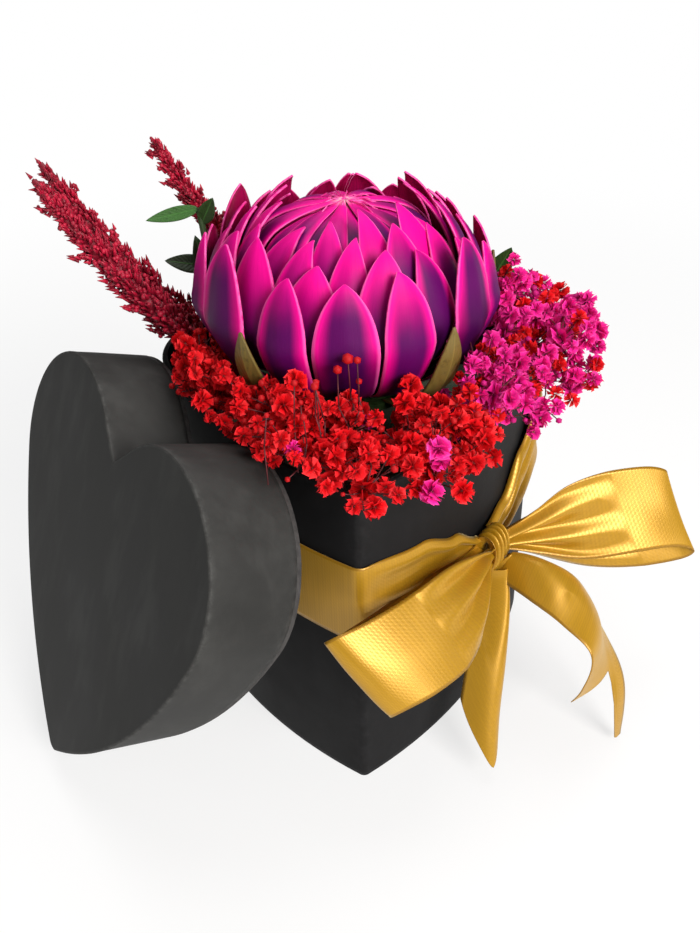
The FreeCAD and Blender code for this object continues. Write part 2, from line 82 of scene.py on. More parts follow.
class FlowerBoxSizes(bpy.types.PropertyGroup):
    """Sizes of the box, lid, ribbon and flowers"""
    box_height: length_prop("Box height", "Height of the box's rim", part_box("box_wrap")[1][2])
    side_angle: angle_prop("Side angle", "Between the heart's axis and each side at the tip", 56.5)
    side_radius: length_prop("Side radius", "Gentle bow of each side", 0.212)
    side_length: length_prop("Side length", "Along each side from the sharp tip", 0.136)
    lobe_radius: length_prop("Lobe radius", "Of the heart's two lobes", 0.041)
    tip_radius: length_prop("Tip radius", "Rounding of the heart's tip", 0.0035)
    notch_angle: angle_prop("Notch angle", "Round a lobe to where it turns straight to the notch", 133)
    board: length_prop("Board", "Thickness of the board", 0.002)
    paper: length_prop("Paper", "Thickness of the paper", 0.0003)
    lid_depth: length_prop("Lid depth", "From the lid's face to its open rim", 0.0366)
    lid_room: length_prop("Lid room", "Between the lid's inside and the box", 0.0007)
    lid_turn: angle_prop("Lid turn", "Of the lid round the vertical", 32.3)
    lid_lean: angle_prop("Lid lean", "Of the lid against the box", 20.6)
    lid_roll: angle_prop("Lid roll", "Of the lid about its own depth", 0.5)
    ribbon_width: length_prop("Ribbon width", "Width of the satin ribbon", 0.038)
    ribbon_level: length_prop("Ribbon level", "Height of the band's middle", 0.0985)
    knot_along: length_prop("Knot along", "Place of the knot along the right side, from the tip", 0.070)
    knot_drop: length_prop("Knot drop", "Of the knot below the band's middle", 0.009)
    knot_out: length_prop("Knot out", "From the box to the knot's middle", 0.0069)
    bloom_x: length_prop("Bloom X", "Place of the protea", -0.0008)
    bloom_y: length_prop("Bloom Y", "Place of the protea", 0.012)
    bloom_radius: length_prop("Bloom radius", "Widest radius of the protea", 0.062)
    bract_width: length_prop("Bract width", "Widest part of an outer bract", 0.0238)
    puff_radius: length_prop("Blossom radius", "Of a gypsophila blossom", 0.0052)
    seed: IntProperty(name="Seed", description="For the small differences between like pieces", default=7)


class FlowerBoxColours(bpy.types.PropertyGroup):
    """Colours of the finishes"""
    box_paper: colour_prop("Box paper", "Black paper on the box", (0.0075, 0.0073, 0.0078))
    lid_paper: colour_prop("Lid paper", "Worn black paper on the lid", (0.030, 0.030, 0.0287))
    board: colour_prop("Board", "Bare board inside", (0.030, 0.028, 0.027))
    gold: colour_prop("Gold ribbon", "Satin in even light", (0.48, 0.255, 0.010))
    gold_shade: colour_prop("Gold shade", "Satin in its folds", (0.26, 0.12, 0.006))
    bract_pink: colour_prop("Bract pink", "Upper part of a protea bract", (0.86, 0.0012, 0.27))
    bract_purple: colour_prop("Bract purple", "Lower middle of a protea bract", (0.058, 0.001, 0.078))
    bract_edge: colour_prop("Bract edge", "Thin edge of a protea bract", (0.92, 0.12, 0.44))
    bract_inside: colour_prop("Bract inside", "Inner face of a protea bract", (0.40, 0.002, 0.085))
    apex_pale: colour_prop("Apex", "Pale tips at the middle of the protea", (0.90, 0.40, 0.48))
    basal: colour_prop("Basal bract", "Green-brown bracts below the bloom", (0.105, 0.074, 0.016))
    amaranth: colour_prop("Amaranth", "Dark red florets", (0.32, 0.005, 0.026))
    red: colour_prop("Red gypsophila", "Red blossoms", (0.84, 0.004, 0.010))
    pink: colour_prop("Pink gypsophila", "Pink blossoms", (0.92, 0.012, 0.32))
    stem: colour_prop("Stem", "Thin stems of the sprays", (0.10, 0.012, 0.016))
    leaf: colour_prop("Leaf", "Leaf sprigs", (0.035, 0.075, 0.018))
    foam: colour_prop("Foam", "Floral foam", (0.055, 0.075, 0.045))
    floor: colour_prop("Floor", "Plain pale floor", (0.92, 0.92, 0.92))


def sizes():
    return bpy.context.scene.flower_box_sizes


def colours():
    return bpy.context.scene.flower_box_colours


# Shapes

class Heart:
    """The heart's outline: a tip arc, a side arc and a lobe arc, tangent to each other, and their mirror."""
    arc_steps = (5, 26, 30)
    least_radius = 0.0004
    weld = 0.00001

    def __init__(self):
        s = sizes()
        self.side_radius = s.side_radius
        self.side_length = s.side_length
        self.lobe_radius = s.lobe_radius
        self.tip_radius = s.tip_radius
        self.side_angle = s.side_angle
        self.notch_angle = s.notch_angle
        self.side_centre = Vector((-math.cos(s.side_angle), math.sin(s.side_angle), 0)) * s.side_radius
        self.side_end = s.side_length / s.side_radius - s.side_angle
        reach = s.side_radius - s.lobe_radius
        self.lobe_centre = self.side_centre + direction(self.side_end) * reach
        drop = math.sqrt((s.side_radius - s.tip_radius) ** 2 - self.side_centre.x ** 2)
        self.tip_centre = Vector((0, self.side_centre.y - drop, 0))
        low = self.tip_centre.y - s.tip_radius
        high = self.lobe_centre.y + s.lobe_radius
        self.middle = Vector((0, (low + high) / 2, 0))
        self.lobe_run = (math.pi / 2 - self.side_end) * s.lobe_radius
        self.half_round = s.side_length + self.lobe_run + self.lobe_centre.x

    def edge(self, along):
        """A place along the outline from the tip, notch bridged: point, direction and outward normal."""
        run = abs(along)
        if run <= self.side_length:
            out = direction(run / self.side_radius - self.side_angle)
            point = self.side_centre + out * self.side_radius
            blunt = self.tip_centre + direction(self.tip_end()) * self.tip_radius
            if point.x <= blunt.x:
                end = self.tip_centre - Vector((0, self.tip_radius, 0))
                point = blunt.lerp(end, 1 - max(point.x, 0) / blunt.x)
        elif run <= self.side_length + self.lobe_run:
            out = direction(self.side_end + (run - self.side_length) / self.lobe_radius)
            point = self.lobe_centre + out * self.lobe_radius
        else:
            out = Vector((0, 1, 0))
            past = run - self.side_length - self.lobe_run
            point = self.lobe_centre + Vector((-past, self.lobe_radius, 0))
        if along < 0:
            point = Vector((-point.x, point.y, 0))
            out = Vector((-out.x, out.y, 0))
        return point - self.middle, UP.cross(out), out

    def tip_end(self):
        return math.atan2(self.tip_centre.y - self.side_centre.y, -self.side_centre.x)

    def loop(self, bm, offset, height):
        """Edges of one closed outline, moved outwards by offset and up by height."""
        before = set(bm.edges)
        tip_radius = max(self.tip_radius + offset, self.least_radius)
        last = bm.verts.new(self.tip_centre - Vector((0, tip_radius, 0)) - self.middle + UP * height)
        centres = (self.tip_centre, self.side_centre, self.lobe_centre)
        angles = (self.tip_end() + math.pi / 2, self.side_end - self.tip_end(),
                  self.notch_angle - self.side_end)
        for centre, angle, steps in zip(centres, angles, self.arc_steps):
            made = bmesh.ops.spin(bm, geom=[last], cent=centre - self.middle + UP * height, axis=UP,
                                  angle=angle, steps=steps, use_duplicate=False)
            last = made["geom_last"][0]
        notch = Vector((0, last.co.y + last.co.x / math.tan(self.notch_angle), height))
        made = bmesh.ops.extrude_vert_indiv(bm, verts=[last])
        made["verts"][0].co = notch
        edges = [e for e in bm.edges if e not in before]
        verts = list({v for e in edges for v in e.verts})
        bmesh.ops.mirror(bm, geom=verts + edges, axis="X", merge_dist=self.weld)
        return [e for e in bm.edges if e not in before]


def direction(angle):
    return Vector((math.cos(angle), math.sin(angle), 0))


def through(stations, share):
    """A smooth run through stations of numbers, at a share of its length from 0 to 1."""
    last = len(stations) - 1
    place = min(max(share, 0) * last, last - 1e-6)
    i = int(place)
    f = place - i
    around = [stations[max(i - 1, 0)], stations[i], stations[i + 1], stations[min(i + 2, last)]]
    return [0.5 * (2 * b + (c - a) * f + (2 * a - 5 * b + 4 * c - d) * f * f
                   + (3 * b - a - 3 * c + d) * f ** 3) for a, b, c, d in zip(*around)]


def ease(low, high, value):
    """A smooth step from 0 at low to 1 at high."""
    share = min(max((value - low) / (high - low), 0), 1)
    return share * share * (3 - 2 * share)


def above_rim(point):
    """A point given in millimetres, with its height above the box's rim."""
    return Vector(point) * MM + UP * sizes().box_height


def stem_root(end):
    """Where a stem that ends outside the rim starts in the foam."""
    return Vector((STEM_DRAW * end.x, STEM_DRAW * end.y, sizes().box_height - STEM_DEPTH))


class Maker:
    """A bmesh with a UV map and a tone attribute, and what is put into it."""

    def __init__(self):
        self.bm = bmesh.new()
        self.uv = self.bm.loops.layers.uv.new("along")
        self.tone = self.bm.verts.layers.float.new("tone")

    def grid(self, columns, rows, place, tone=0.0, material=0, scale=(1, 1)):
        """A grid shaped by place(u, v), with its UV from 0 to scale."""
        made = bmesh.ops.create_grid(self.bm, x_segments=columns, y_segments=rows, size=0.5)
        self.mark(made["verts"], tone, material)
        for vert in made["verts"]:
            u, v = vert.co.x + 0.5, vert.co.y + 0.5
            for loop in vert.link_loops:
                loop[self.uv].uv = (u * scale[0], v * scale[1])
            vert.co = place(u, v)

    def mark(self, verts, tone, material):
        for face in {f for v in verts for f in v.link_faces}:
            face.material_index = material
            face.smooth = True
        for vert in verts:
            vert[self.tone] = tone

    def cone(self, start, end, start_radius, end_radius, sides, tone, material=0):
        run = end - start
        turn = UP.rotation_difference(run).to_matrix().to_4x4()
        place = Matrix.Translation((start + end) / 2) @ turn
        made = bmesh.ops.create_cone(self.bm, cap_ends=True, cap_tris=True, segments=sides,
                                     radius1=start_radius, radius2=end_radius, depth=run.length, matrix=place)
        self.mark(made["verts"], tone, material)

    def bead(self, middle, radius, tone):
        made = bmesh.ops.create_icosphere(self.bm, subdivisions=1, radius=radius,
                                          matrix=Matrix.Translation(middle))
        self.mark(made["verts"], tone, 0)

    def stalk(self, points, radius, tone, material):
        """Thin four-sided rods from point to point."""
        for low, high in zip(points, points[1:]):
            self.cone(low, high, radius, radius * 0.9, 4, tone, material)

    def piece(self, name, materials, body, slot, nodes):
        """The finished object, riding on its body and standing for its nodes."""
        mesh = bpy.data.meshes.new(name)
        self.bm.to_mesh(mesh)
        self.bm.free()
        for material in materials:
            mesh.materials.append(material)
        obj = bpy.data.objects.new(name, mesh)
        bpy.context.scene.collection.objects.link(obj)
        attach(obj, body)
        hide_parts(*nodes)
        return obj


def thicken(obj, thickness, inside=0, rim=0, offset=-1.0):
    solid = obj.modifiers.new("Thickness", "SOLIDIFY")
    solid.thickness = thickness
    solid.offset = offset
    solid.material_offset = inside
    solid.material_offset_rim = rim


# Finishes

class Finish:
    """A node material round one Principled shader."""

    def __init__(self, name, roughness, **sockets):
        self.material = bpy.data.materials.new(name)
        self.material.use_nodes = True
        self.tree = self.material.node_tree
        self.shader = self.tree.nodes["Principled BSDF"]
        self.shader.inputs["Roughness"].default_value = roughness
        for socket, value in sockets.items():
            self.shader.inputs[socket.replace("_", " ")].default_value = value

    def node(self, kind, inputs=None, **settings):
        made = self.tree.nodes.new(kind)
        for key, value in settings.items():
            setattr(made, key, value)
        for key, value in (inputs or {}).items():
            if isinstance(value, bpy.types.NodeSocket):
                self.tree.links.new(value, made.inputs[key])
            else:
                made.inputs[key].default_value = value
        return made

    def spot(self, scale=(1, 1, 1)):
        """Object coordinates, stretched."""
        return self.stretched(self.node("ShaderNodeTexCoord").outputs["Object"], scale)

    def stretched(self, vector, scale):
        return self.node("ShaderNodeMapping", {"Vector": vector, "Scale": scale}).outputs["Vector"]

    def uv(self):
        """Across and along the piece."""
        coords = self.node("ShaderNodeUVMap", uv_map="along")
        split = self.node("ShaderNodeSeparateXYZ", {0: coords.outputs["UV"]})
        return coords.outputs["UV"], split.outputs["X"], split.outputs["Y"]

    def tone(self):
        return self.node("ShaderNodeAttribute", attribute_name="tone").outputs["Fac"]

    def noise(self, vector, scale, detail=3.0, roughness=0.5):
        made = self.node("ShaderNodeTexNoise", {"Vector": vector, "Scale": scale, "Detail": detail,
                                                "Roughness": roughness})
        return made.outputs["Fac"]

    def bands(self, vector, way, scale, distortion):
        made = self.node("ShaderNodeTexWave", {"Vector": vector, "Scale": scale, "Distortion": distortion,
                                               "Detail": 1.0}, wave_type="BANDS", bands_direction=way)
        return made.outputs["Fac"]

    def math(self, operation, a, b=0.0):
        return self.node("ShaderNodeMath", {0: a, 1: b}, operation=operation).outputs[0]

    def times(self, a, b):
        return self.math("MULTIPLY", a, b)

    def plus(self, a, b):
        return self.math("ADD", a, b)

    def from_middle(self, across):
        """0 along the middle of a piece, 1 at its sides."""
        return self.times(self.math("ABSOLUTE", self.math("SUBTRACT", across, 0.5)), 2.0)

    def span(self, value, low, high, to_low=0.0, to_high=1.0):
        """A smooth step of a value from one range to another."""
        made = self.node("ShaderNodeMapRange", {"Value": value, "From Min": low, "From Max": high,
                                                "To Min": to_low, "To Max": to_high},
                         interpolation_type="SMOOTHSTEP")
        return made.outputs["Result"]

    def mix(self, share, a, b):
        """From one colour to another by a share."""
        a, b = [value if isinstance(value, bpy.types.NodeSocket) else (*value[:3], 1) for value in (a, b)]
        return self.node("ShaderNodeMix", {0: share, 6: a, 7: b}, data_type="RGBA").outputs[2]

    def over(self, base, colour, share, strength):
        """A colour laid over another where share is high."""
        return self.mix(self.times(share, strength), base, colour)

    def mottled(self, share, colour, dark, light):
        """A darker and a lighter shade of one colour, by a patchy share."""
        return self.mix(self.span(share, 0.3, 0.7), shaded(colour, dark), shaded(colour, light))

    def rough(self, socket):
        self.tree.links.new(socket, self.shader.inputs["Roughness"])

    def done(self, colour, relief=None, strength=0.0, depth=0.0):
        """The material, with its colour and a small relief."""
        self.tree.links.new(colour, self.shader.inputs["Base Color"])
        if relief is not None:
            made = self.node("ShaderNodeBump", {"Height": relief, "Strength": strength, "Distance": depth})
            self.tree.links.new(made.outputs["Normal"], self.shader.inputs["Normal"])
        return self.material


def shaded(colour, factor):
    return tuple(min(c * factor, 1.0) for c in colour[:3])


def paper_finish(name, colour, streaks, wear):
    """Matte paper with fibres, soft smudges, streaks and a paler worn edge where tone is high."""
    f = Finish(name, 0.6, Specular_IOR_Level=0.14)
    smudge = f.noise(f.spot(), 22, 4, 0.6)
    streak = f.noise(f.spot((90, 90, 5)), 1.0, 3, 0.55)
    fibre = f.noise(f.spot(), 1500, 2, 0.7)
    dents = f.noise(f.spot((1, 1, 0.4)), 95)
    patchy = f.times(f.tone(), f.span(f.noise(f.spot(), 260, 3, 0.7), 0.36, 0.68))
    base = f.mix(f.span(smudge, 0.3, 0.72), shaded(colour, 0.78), shaded(colour, 1.3))
    base = f.over(base, shaded(colour, 2.1), f.span(streak, 0.45, 0.75), streaks)
    base = f.over(base, shaded(colour, 4.5), patchy, wear)
    f.rough(f.span(smudge, 0.25, 0.75, 0.56, 0.72))
    return f.done(base, f.plus(f.times(fibre, 0.35), dents), 0.16, 0.0006)


def board_finish():
    """Dark pressed board with long fibres."""
    f = Finish("pressed_board", 0.85)
    colour = colours().board
    fibre = f.noise(f.spot((1, 1, 0.25)), 420, 4, 0.7)
    return f.done(f.mottled(fibre, colour, 0.7, 1.5), fibre, 0.25, 0.0004)


def satin_finish():
    """Gold satin: fine ribs across the ribbon, a tight selvedge and a soft sheen."""
    c = colours()
    f = Finish("gold_satin", 0.36, Metallic=0.35, Specular_IOR_Level=0.6, Sheen_Weight=0.25,
               Sheen_Roughness=0.35, Sheen_Tint=(1.0, 0.86, 0.45, 1), Anisotropic=0.5)
    vector, across, _ = f.uv()
    ribs = f.bands(vector, "Y", 260.0, 0.6)
    twill = f.bands(vector, "DIAGONAL", 330.0, 0.3)
    weave = f.plus(f.times(ribs, 0.6), f.times(twill, 0.4))
    streak = f.noise(f.stretched(vector, (9, 240, 1)), 3.0)
    place = f.math("DIVIDE", across, sizes().ribbon_width)
    selvedge = f.span(f.math("ABSOLUTE", f.math("SUBTRACT", place, 0.5)), 0.462, 0.478)
    base = f.over(c.gold, c.gold_shade, weave, 0.22)
    base = f.over(base, shaded(c.gold, 1.25), f.span(streak, 0.4, 0.7), 0.25)
    base = f.over(base, c.gold_shade, selvedge, 0.55)
    f.rough(f.span(weave, 0, 1, 0.33, 0.46))
    return f.done(base, f.plus(weave, f.times(selvedge, 1.5)), 0.12, 0.00014)


def bract_finish(name, pale_tip):
    """Dyed bract: hot pink, deep purple low down in the middle, a thin pale edge, and painted shade that
    darkens its foot further.
    """
    c = colours()
    f = Finish(name, 0.5, Specular_IOR_Level=0.12, Subsurface_Weight=0.05,
               Subsurface_Radius=(0.004, 0.0012, 0.002))
    vector, across, along = f.uv()
    side = f.from_middle(across)
    cloud = f.noise(f.spot((1, 1, 0.5)), 55)
    wander = f.times(f.math("SUBTRACT", cloud, 0.5), 0.22)
    height = f.plus(f.plus(along, wander), f.times(f.tone(), 0.34))
    dark = f.times(f.span(height, 0.50, 0.97, 1.0, 0.0), f.span(side, 0.42, 0.97, 1.0, 0.0))
    # painted shade: the lowest part of each bract, tucked under the ring outside it, turns to a darker purple
    foot = f.span(height, 0.16, 0.40, 0.85, 0.0)
    rim = f.times(f.span(side, 0.86, 0.985), f.span(along, 0.25, 0.5, 0.35, 0.8))
    veins = f.noise(f.stretched(vector, (34, 1.3, 1)), 2.2)
    base = f.over(c.bract_pink, shaded(c.bract_pink, 0.62), f.span(veins, 0.42, 0.72), 0.30)
    base = f.over(base, c.bract_purple, dark, 0.96)
    # painted shade laid over the bract's foot
    base = f.mix(foot, base, shaded(c.bract_purple, 0.45))
    base = f.mix(rim, base, c.bract_edge)
    if pale_tip:
        base = f.mix(f.span(along, 0.87, 0.99, 0.0, 0.85), base, c.apex_pale)
    return f.done(base, f.plus(veins, f.times(f.noise(f.spot(), 900, 2), 0.4)), 0.14, 0.0006)


def inner_bract_finish():
    """Inner face of a bract, crimson and duller than the outside, with painted shade darkening its lower part
    deep in the bloom.
    """
    colour = colours().bract_inside
    f = Finish("bract_inside", 0.55, Specular_IOR_Level=0.25)
    vector, _, along = f.uv()
    veins = f.noise(f.stretched(vector, (30, 1.1, 1)), 2.5)
    base = f.mottled(veins, colour, 0.7, 1.35)
    # painted shade: the inner face darkens almost to black towards its foot, deep inside the bloom
    base = f.mix(f.span(along, 0.35, 0.75, 0.85, 0.0), base, shaded(colour, 0.12))
    return f.done(base, veins, 0.15, 0.0005)


def edge_finish():
    """Thin paler rim of a bract."""
    c = colours()
    f = Finish("bract_rim", 0.5)
    speck = f.noise(f.spot(), 300)
    return f.done(f.mix(f.span(speck, 0.35, 0.7), c.bract_edge, shaded(c.bract_pink, 0.9)))


def blossom_finish(name, colour, bright):
    """Crisp small petals: painted shade darkens them towards the middle of the ball and painted light makes
    their tips lighter, a little different from one blossom to the next.
    """
    f = Finish(name, 0.6, Specular_IOR_Level=0.25, Subsurface_Weight=0.12,
               Subsurface_Radius=(0.003, 0.001, 0.0012))
    _, _, along = f.uv()
    grain = f.noise(f.spot(), 700, 3, 0.6)
    # painted shade towards the petals' feet at the middle of the ball
    base = f.mix(f.span(along, 0.0, 0.75), shaded(colour, 0.5), colour)
    # painted light on the petal tips at the outside of the ball
    base = f.over(base, bright, f.span(along, 0.72, 1.0), 0.55)
    base = f.over(base, shaded(colour, 0.5), f.tone(), 0.4)
    base = f.over(base, shaded(colour, 0.6), f.span(grain, 0.45, 0.7), 0.25)
    return f.done(base, grain, 0.2, 0.0003)


def stalk_finish(name, colour):
    """Stem with fine fibres along it."""
    f = Finish(name, 0.6)
    fibre = f.noise(f.spot((1, 1, 0.2)), 500)
    return f.done(f.mottled(fibre, colour, 0.7, 1.5), fibre, 0.2, 0.0002)


def amaranth_finish():
    """Dark red dry florets with lighter points; their tone, random for some florets, is painted shade and
    light: low for the core and deep-set florets, high for those that stand out.
    """
    colour = colours().amaranth
    f = Finish("amaranth_florets", 0.5, Specular_IOR_Level=0.4)
    grain = f.noise(f.spot(), 420, 3, 0.6)
    # painted shade and light by tone: darker for the core and florets set deep in the spike, lighter for
    # those that stand out
    base = f.mix(f.tone(), shaded(colour, 0.45), shaded(colour, 1.55))
    base = f.over(base, shaded(colour, 2.3), f.span(grain, 0.5, 0.72), 0.5)
    return f.done(base, grain, 0.3, 0.0004)


def leaf_finish(name, colour, bright):
    """Waxy leaf with a midrib, side veins and speckles."""
    f = Finish(name, 0.45, Specular_IOR_Level=0.4)
    _, across, along = f.uv()
    side = f.from_middle(across)
    slant = f.math("SUBTRACT", along, f.times(side, 0.22))
    veins = f.math("SINE", f.times(slant, 60.0))
    rib = f.span(side, 0.03, 0.10, 1.0, 0.0)
    speck = f.noise(f.spot(), 480, 4, 0.65)
    base = f.mix(f.tone(), colour, bright)
    base = f.over(base, shaded(colour, 0.4), f.span(speck, 0.52, 0.72), 0.55)
    base = f.over(base, shaded(bright, 1.4), rib, 0.5)
    return f.done(base, f.plus(f.times(veins, 0.3), f.plus(rib, speck)), 0.25, 0.0005)


def foam_finish():
    """Dry floral foam: fine open cells."""
    colour = colours().foam
    f = Finish("floral_foam", 0.95)
    cells = f.node("ShaderNodeTexVoronoi", {"Vector": f.spot(), "Scale": 900.0}).outputs["Distance"]
    patch = f.noise(f.spot(), 60)
    return f.done(f.mottled(patch, colour, 0.75, 1.35), cells, 0.6, 0.0008)


# Box and lid

def skin(maker, heart, section):
    """Walls through outlines of (offset, height, wear), one after another, and the last outline's edges."""
    loops = [heart.loop(maker.bm, offset, height) for offset, height, _ in section]
    for edges, (_, _, wear) in zip(loops, section):
        for vert in {v for e in edges for v in e.verts}:
            vert[maker.tone] = wear
    for low, high in zip(loops, loops[1:]):
        bmesh.ops.bridge_loops(maker.bm, edges=low + high)
    return loops[-1]


def rounded(radius, steps=4):
    """Offsets and heights round a quarter turn of an edge."""
    turns = [math.radians(90 * i / steps) for i in range(steps + 1)]
    return [(radius * math.cos(a), radius * math.sin(a)) for a in turns]


def dress(finish, *nodes):
    """A finish on pieces that are shown as they are in the frame."""
    for node in nodes:
        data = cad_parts[node].data
        data.materials.clear()
        data.materials.append(finish)


class FLOWERBOX_OT_box(bpy.types.Operator):
    """Paper skin of the box, turned in over its rim, and the finishes of its board and foam"""
    bl_idname = "flowerbox.box"
    bl_label = "Box"
    turned_in = 0.014
    rim_round = 0.0011
    lift = 0.0005
    foot_worn = 0.002
    rim_worn = 0.006
    tip_worn = 0.5
    tip_far, tip_near = 0.007, 0.003

    def execute(self, context):
        s = sizes()
        heart = Heart()
        maker = Maker()
        top = s.box_height + s.paper
        inside = -(s.paper + s.board + s.paper / 2)
        r = self.rim_round
        section = [(0, self.lift, 0.8), (0, self.lift + self.foot_worn, 0.15), (0, s.box_height / 2, 0.0),
                   (0, top - self.rim_worn, 0.1)]
        section += [(x - r, top - r + z, 0.9) for x, z in rounded(r)]
        section += [(inside + r - x, top - r + z, 0.8) for x, z in reversed(rounded(r))][1:]
        section += [(inside, top - self.turned_in, 0.1)]
        skin(maker, heart, section)
        bmesh.ops.recalc_face_normals(maker.bm, faces=maker.bm.faces)
        self.wear_tip(maker, heart)
        for face in maker.bm.faces:
            face.smooth = True
        finish = paper_finish("box_paper", colours().box_paper, 0.10, 0.35)
        paper = maker.piece("box_paper", [finish], "box", "black_paper", ["box_wrap"])
        thicken(paper, s.paper)
        dress(board_finish(), "box_wall", "box_base")
        dress(foam_finish(), "foam_block")
        return {"FINISHED"}

    def wear_tip(self, maker, heart):
        """Paler paper near the upright edge at the heart's tip."""
        tip = heart.tip_centre.y - heart.middle.y
        for vert in maker.bm.verts:
            near = math.hypot(vert.co.x, vert.co.y - tip)
            worn = self.tip_worn * ease(self.tip_far, self.tip_near, near)
            vert[maker.tone] = max(vert[maker.tone], worn)


class FLOWERBOX_OT_lid(bpy.types.Operator):
    """Paper skin of the leaning lid, with its worn edge and small creases"""
    bl_idname = "flowerbox.lid"
    bl_label = "Lid"
    edge_round = 0.0012
    paper_short = 0.002
    paper_share = 0.9
    rim_worn = 0.002
    # wear at shares of the wall's depth, and round the edge from the wall to the face
    wall_wear = ((0.6, 0.0), (0.35, 0.05), (0.2, 0.05), (0.08, 0.12))
    edge_wear = (0.5, 1.0, 1.0, 0.7, 0.0)
    crease = 0.00035
    crease_scale = (90, 90, 40)
    crease_start = 0.004
    # stands the outline up: its axes each take the place of the next
    upright = Matrix.Rotation(math.radians(120), 4, Vector((1, 1, 1)))

    def execute(self, context):
        s = sizes()
        heart = Heart()
        maker = Maker()
        outer = s.lid_room + s.board + s.paper
        rim = s.lid_depth - self.paper_short
        turn = (Matrix.Rotation(s.lid_turn, 4, "Z") @ Matrix.Rotation(s.lid_lean, 4, "Y")
                @ Matrix.Rotation(s.lid_roll, 4, "X") @ self.upright)
        place = Matrix.Translation(self.shift(heart, turn, outer, rim)) @ turn
        r = self.edge_round
        section = [(outer, rim, 0.7), (outer, rim - self.rim_worn, 0.15)]
        section += [(outer, share * rim, wear) for share, wear in self.wall_wear]
        section += [(outer - r + x, r - z, wear) for (x, z), wear in zip(rounded(r), self.edge_wear)]
        face = bmesh.ops.edgeloop_fill(maker.bm, edges=skin(maker, heart, section))["faces"][0]
        bmesh.ops.recalc_face_normals(maker.bm, faces=maker.bm.faces)
        self.creases(maker, rim)
        bmesh.ops.transform(maker.bm, matrix=place, verts=maker.bm.verts)
        if face.normal.dot(place.to_3x3() @ UP) > 0:
            bmesh.ops.reverse_faces(maker.bm, faces=maker.bm.faces)
        for wall in maker.bm.faces:
            wall.smooth = wall is not face
        finish = paper_finish("lid_paper", colours().lid_paper, 0.30, 0.3)
        paper = maker.piece("lid_paper", [finish], "lid", "black_paper", ["lid_wrap"])
        thicken(paper, s.paper * self.paper_share)
        dress(board_finish(), "lid_wall", "lid_top")
        return {"FINISHED"}

    def shift(self, heart, turn, outer, rim):
        """From the turned outline's lowest corner to the lid's place in the frame."""
        sample = bmesh.new()
        heart.loop(sample, outer, 0)
        heart.loop(sample, outer, rim)
        points = [turn @ v.co for v in sample.verts]
        sample.free()
        low = Vector([min(p[i] for p in points) for i in range(3)])
        return Vector(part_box("lid_wrap")[0]) - low

    def creases(self, maker, rim):
        """The paper lies a little unevenly on the wall, most of all near the face."""
        for vert in maker.bm.verts:
            share = ease(rim, 0, vert.co.z) * ease(0.0, self.crease_start, vert.co.z)
            wave = noise.noise(Vector([a * b for a, b in zip(vert.co, self.crease_scale)]))
            vert.co += vert.normal * (min(wave, 0) * self.crease * share)


# Ribbon

class KnotFrame:
    """Points and directions along the box's side, outwards and up, from the knot's foot, in millimetres."""

    def __init__(self, heart):
        s = sizes()
        self.foot, self.along, self.out = heart.edge(s.knot_along)
        self.foot = self.foot + UP * (s.ribbon_level - s.knot_drop)
        self.mid = s.knot_out / MM

    def way(self, along, out, up):
        return self.along * along + self.out * out + UP * up

    def point(self, along, out, up):
        return self.foot + self.way(along, out + self.mid, up) * MM


def pleated(share, width, pleats, phase, u):
    """Depth of the folds that take up a ribbon's width where it is drawn together to a share of it."""
    wave = 2 * math.pi * pleats / (width * share)
    rise = 2 / wave * math.sqrt(max(1 / share - 1, 0))
    return rise * math.sin(2 * math.pi * pleats * u + phase)


def ribbon(name, node, knot, stations, satin, pleats=2.5, phase=0.0, bow=0.0, cut=None):
    """A satin strip through stations of (along, out, up, width's direction, share of its width)."""
    s = sizes()
    rows = 22 * (len(stations) - 1)
    columns = 24
    least_share = 0.12
    step = 0.004
    ripple_depth = 0.0006

    def frame_at(v):
        a, o, u, wa, wo, wu, share = through(stations, v)
        return knot.point(a, o, u), knot.way(wa, wo, wu).normalized(), min(max(share, least_share), 1.0)

    middles = [frame_at(i / rows)[0] for i in range(rows + 1)]
    long = sum((b - a).length for a, b in zip(middles, middles[1:]))

    def place(u, v):
        end = v if cut is None else v * cut(u)
        middle, across, share = frame_at(end)
        run = (frame_at(min(end + step, 1))[0] - frame_at(max(end - step, 0))[0]).normalized()
        face = run.cross(across).normalized()
        x = u - 0.5
        fold = pleated(share, s.ribbon_width, pleats, phase, u) + bow * (0.25 - x * x) * share
        ripple = ripple_depth * noise.noise(Vector((u * 2.2, end * long * 45, phase * 7)))
        height = fold + ripple * ease(0.35, 0.9, share)
        return middle + across * (x * s.ribbon_width * share) + face * height

    maker = Maker()
    maker.grid(columns, rows, place, scale=(s.ribbon_width, long))
    obj = maker.piece(name, [satin], "box", "gold_ribbon", [node])
    thicken(obj, RIBBON_THICK, offset=0.0)
    area = None if cut is None else s.ribbon_width * long * sum(cut((i + 0.5) / 40) for i in range(40)) / 40


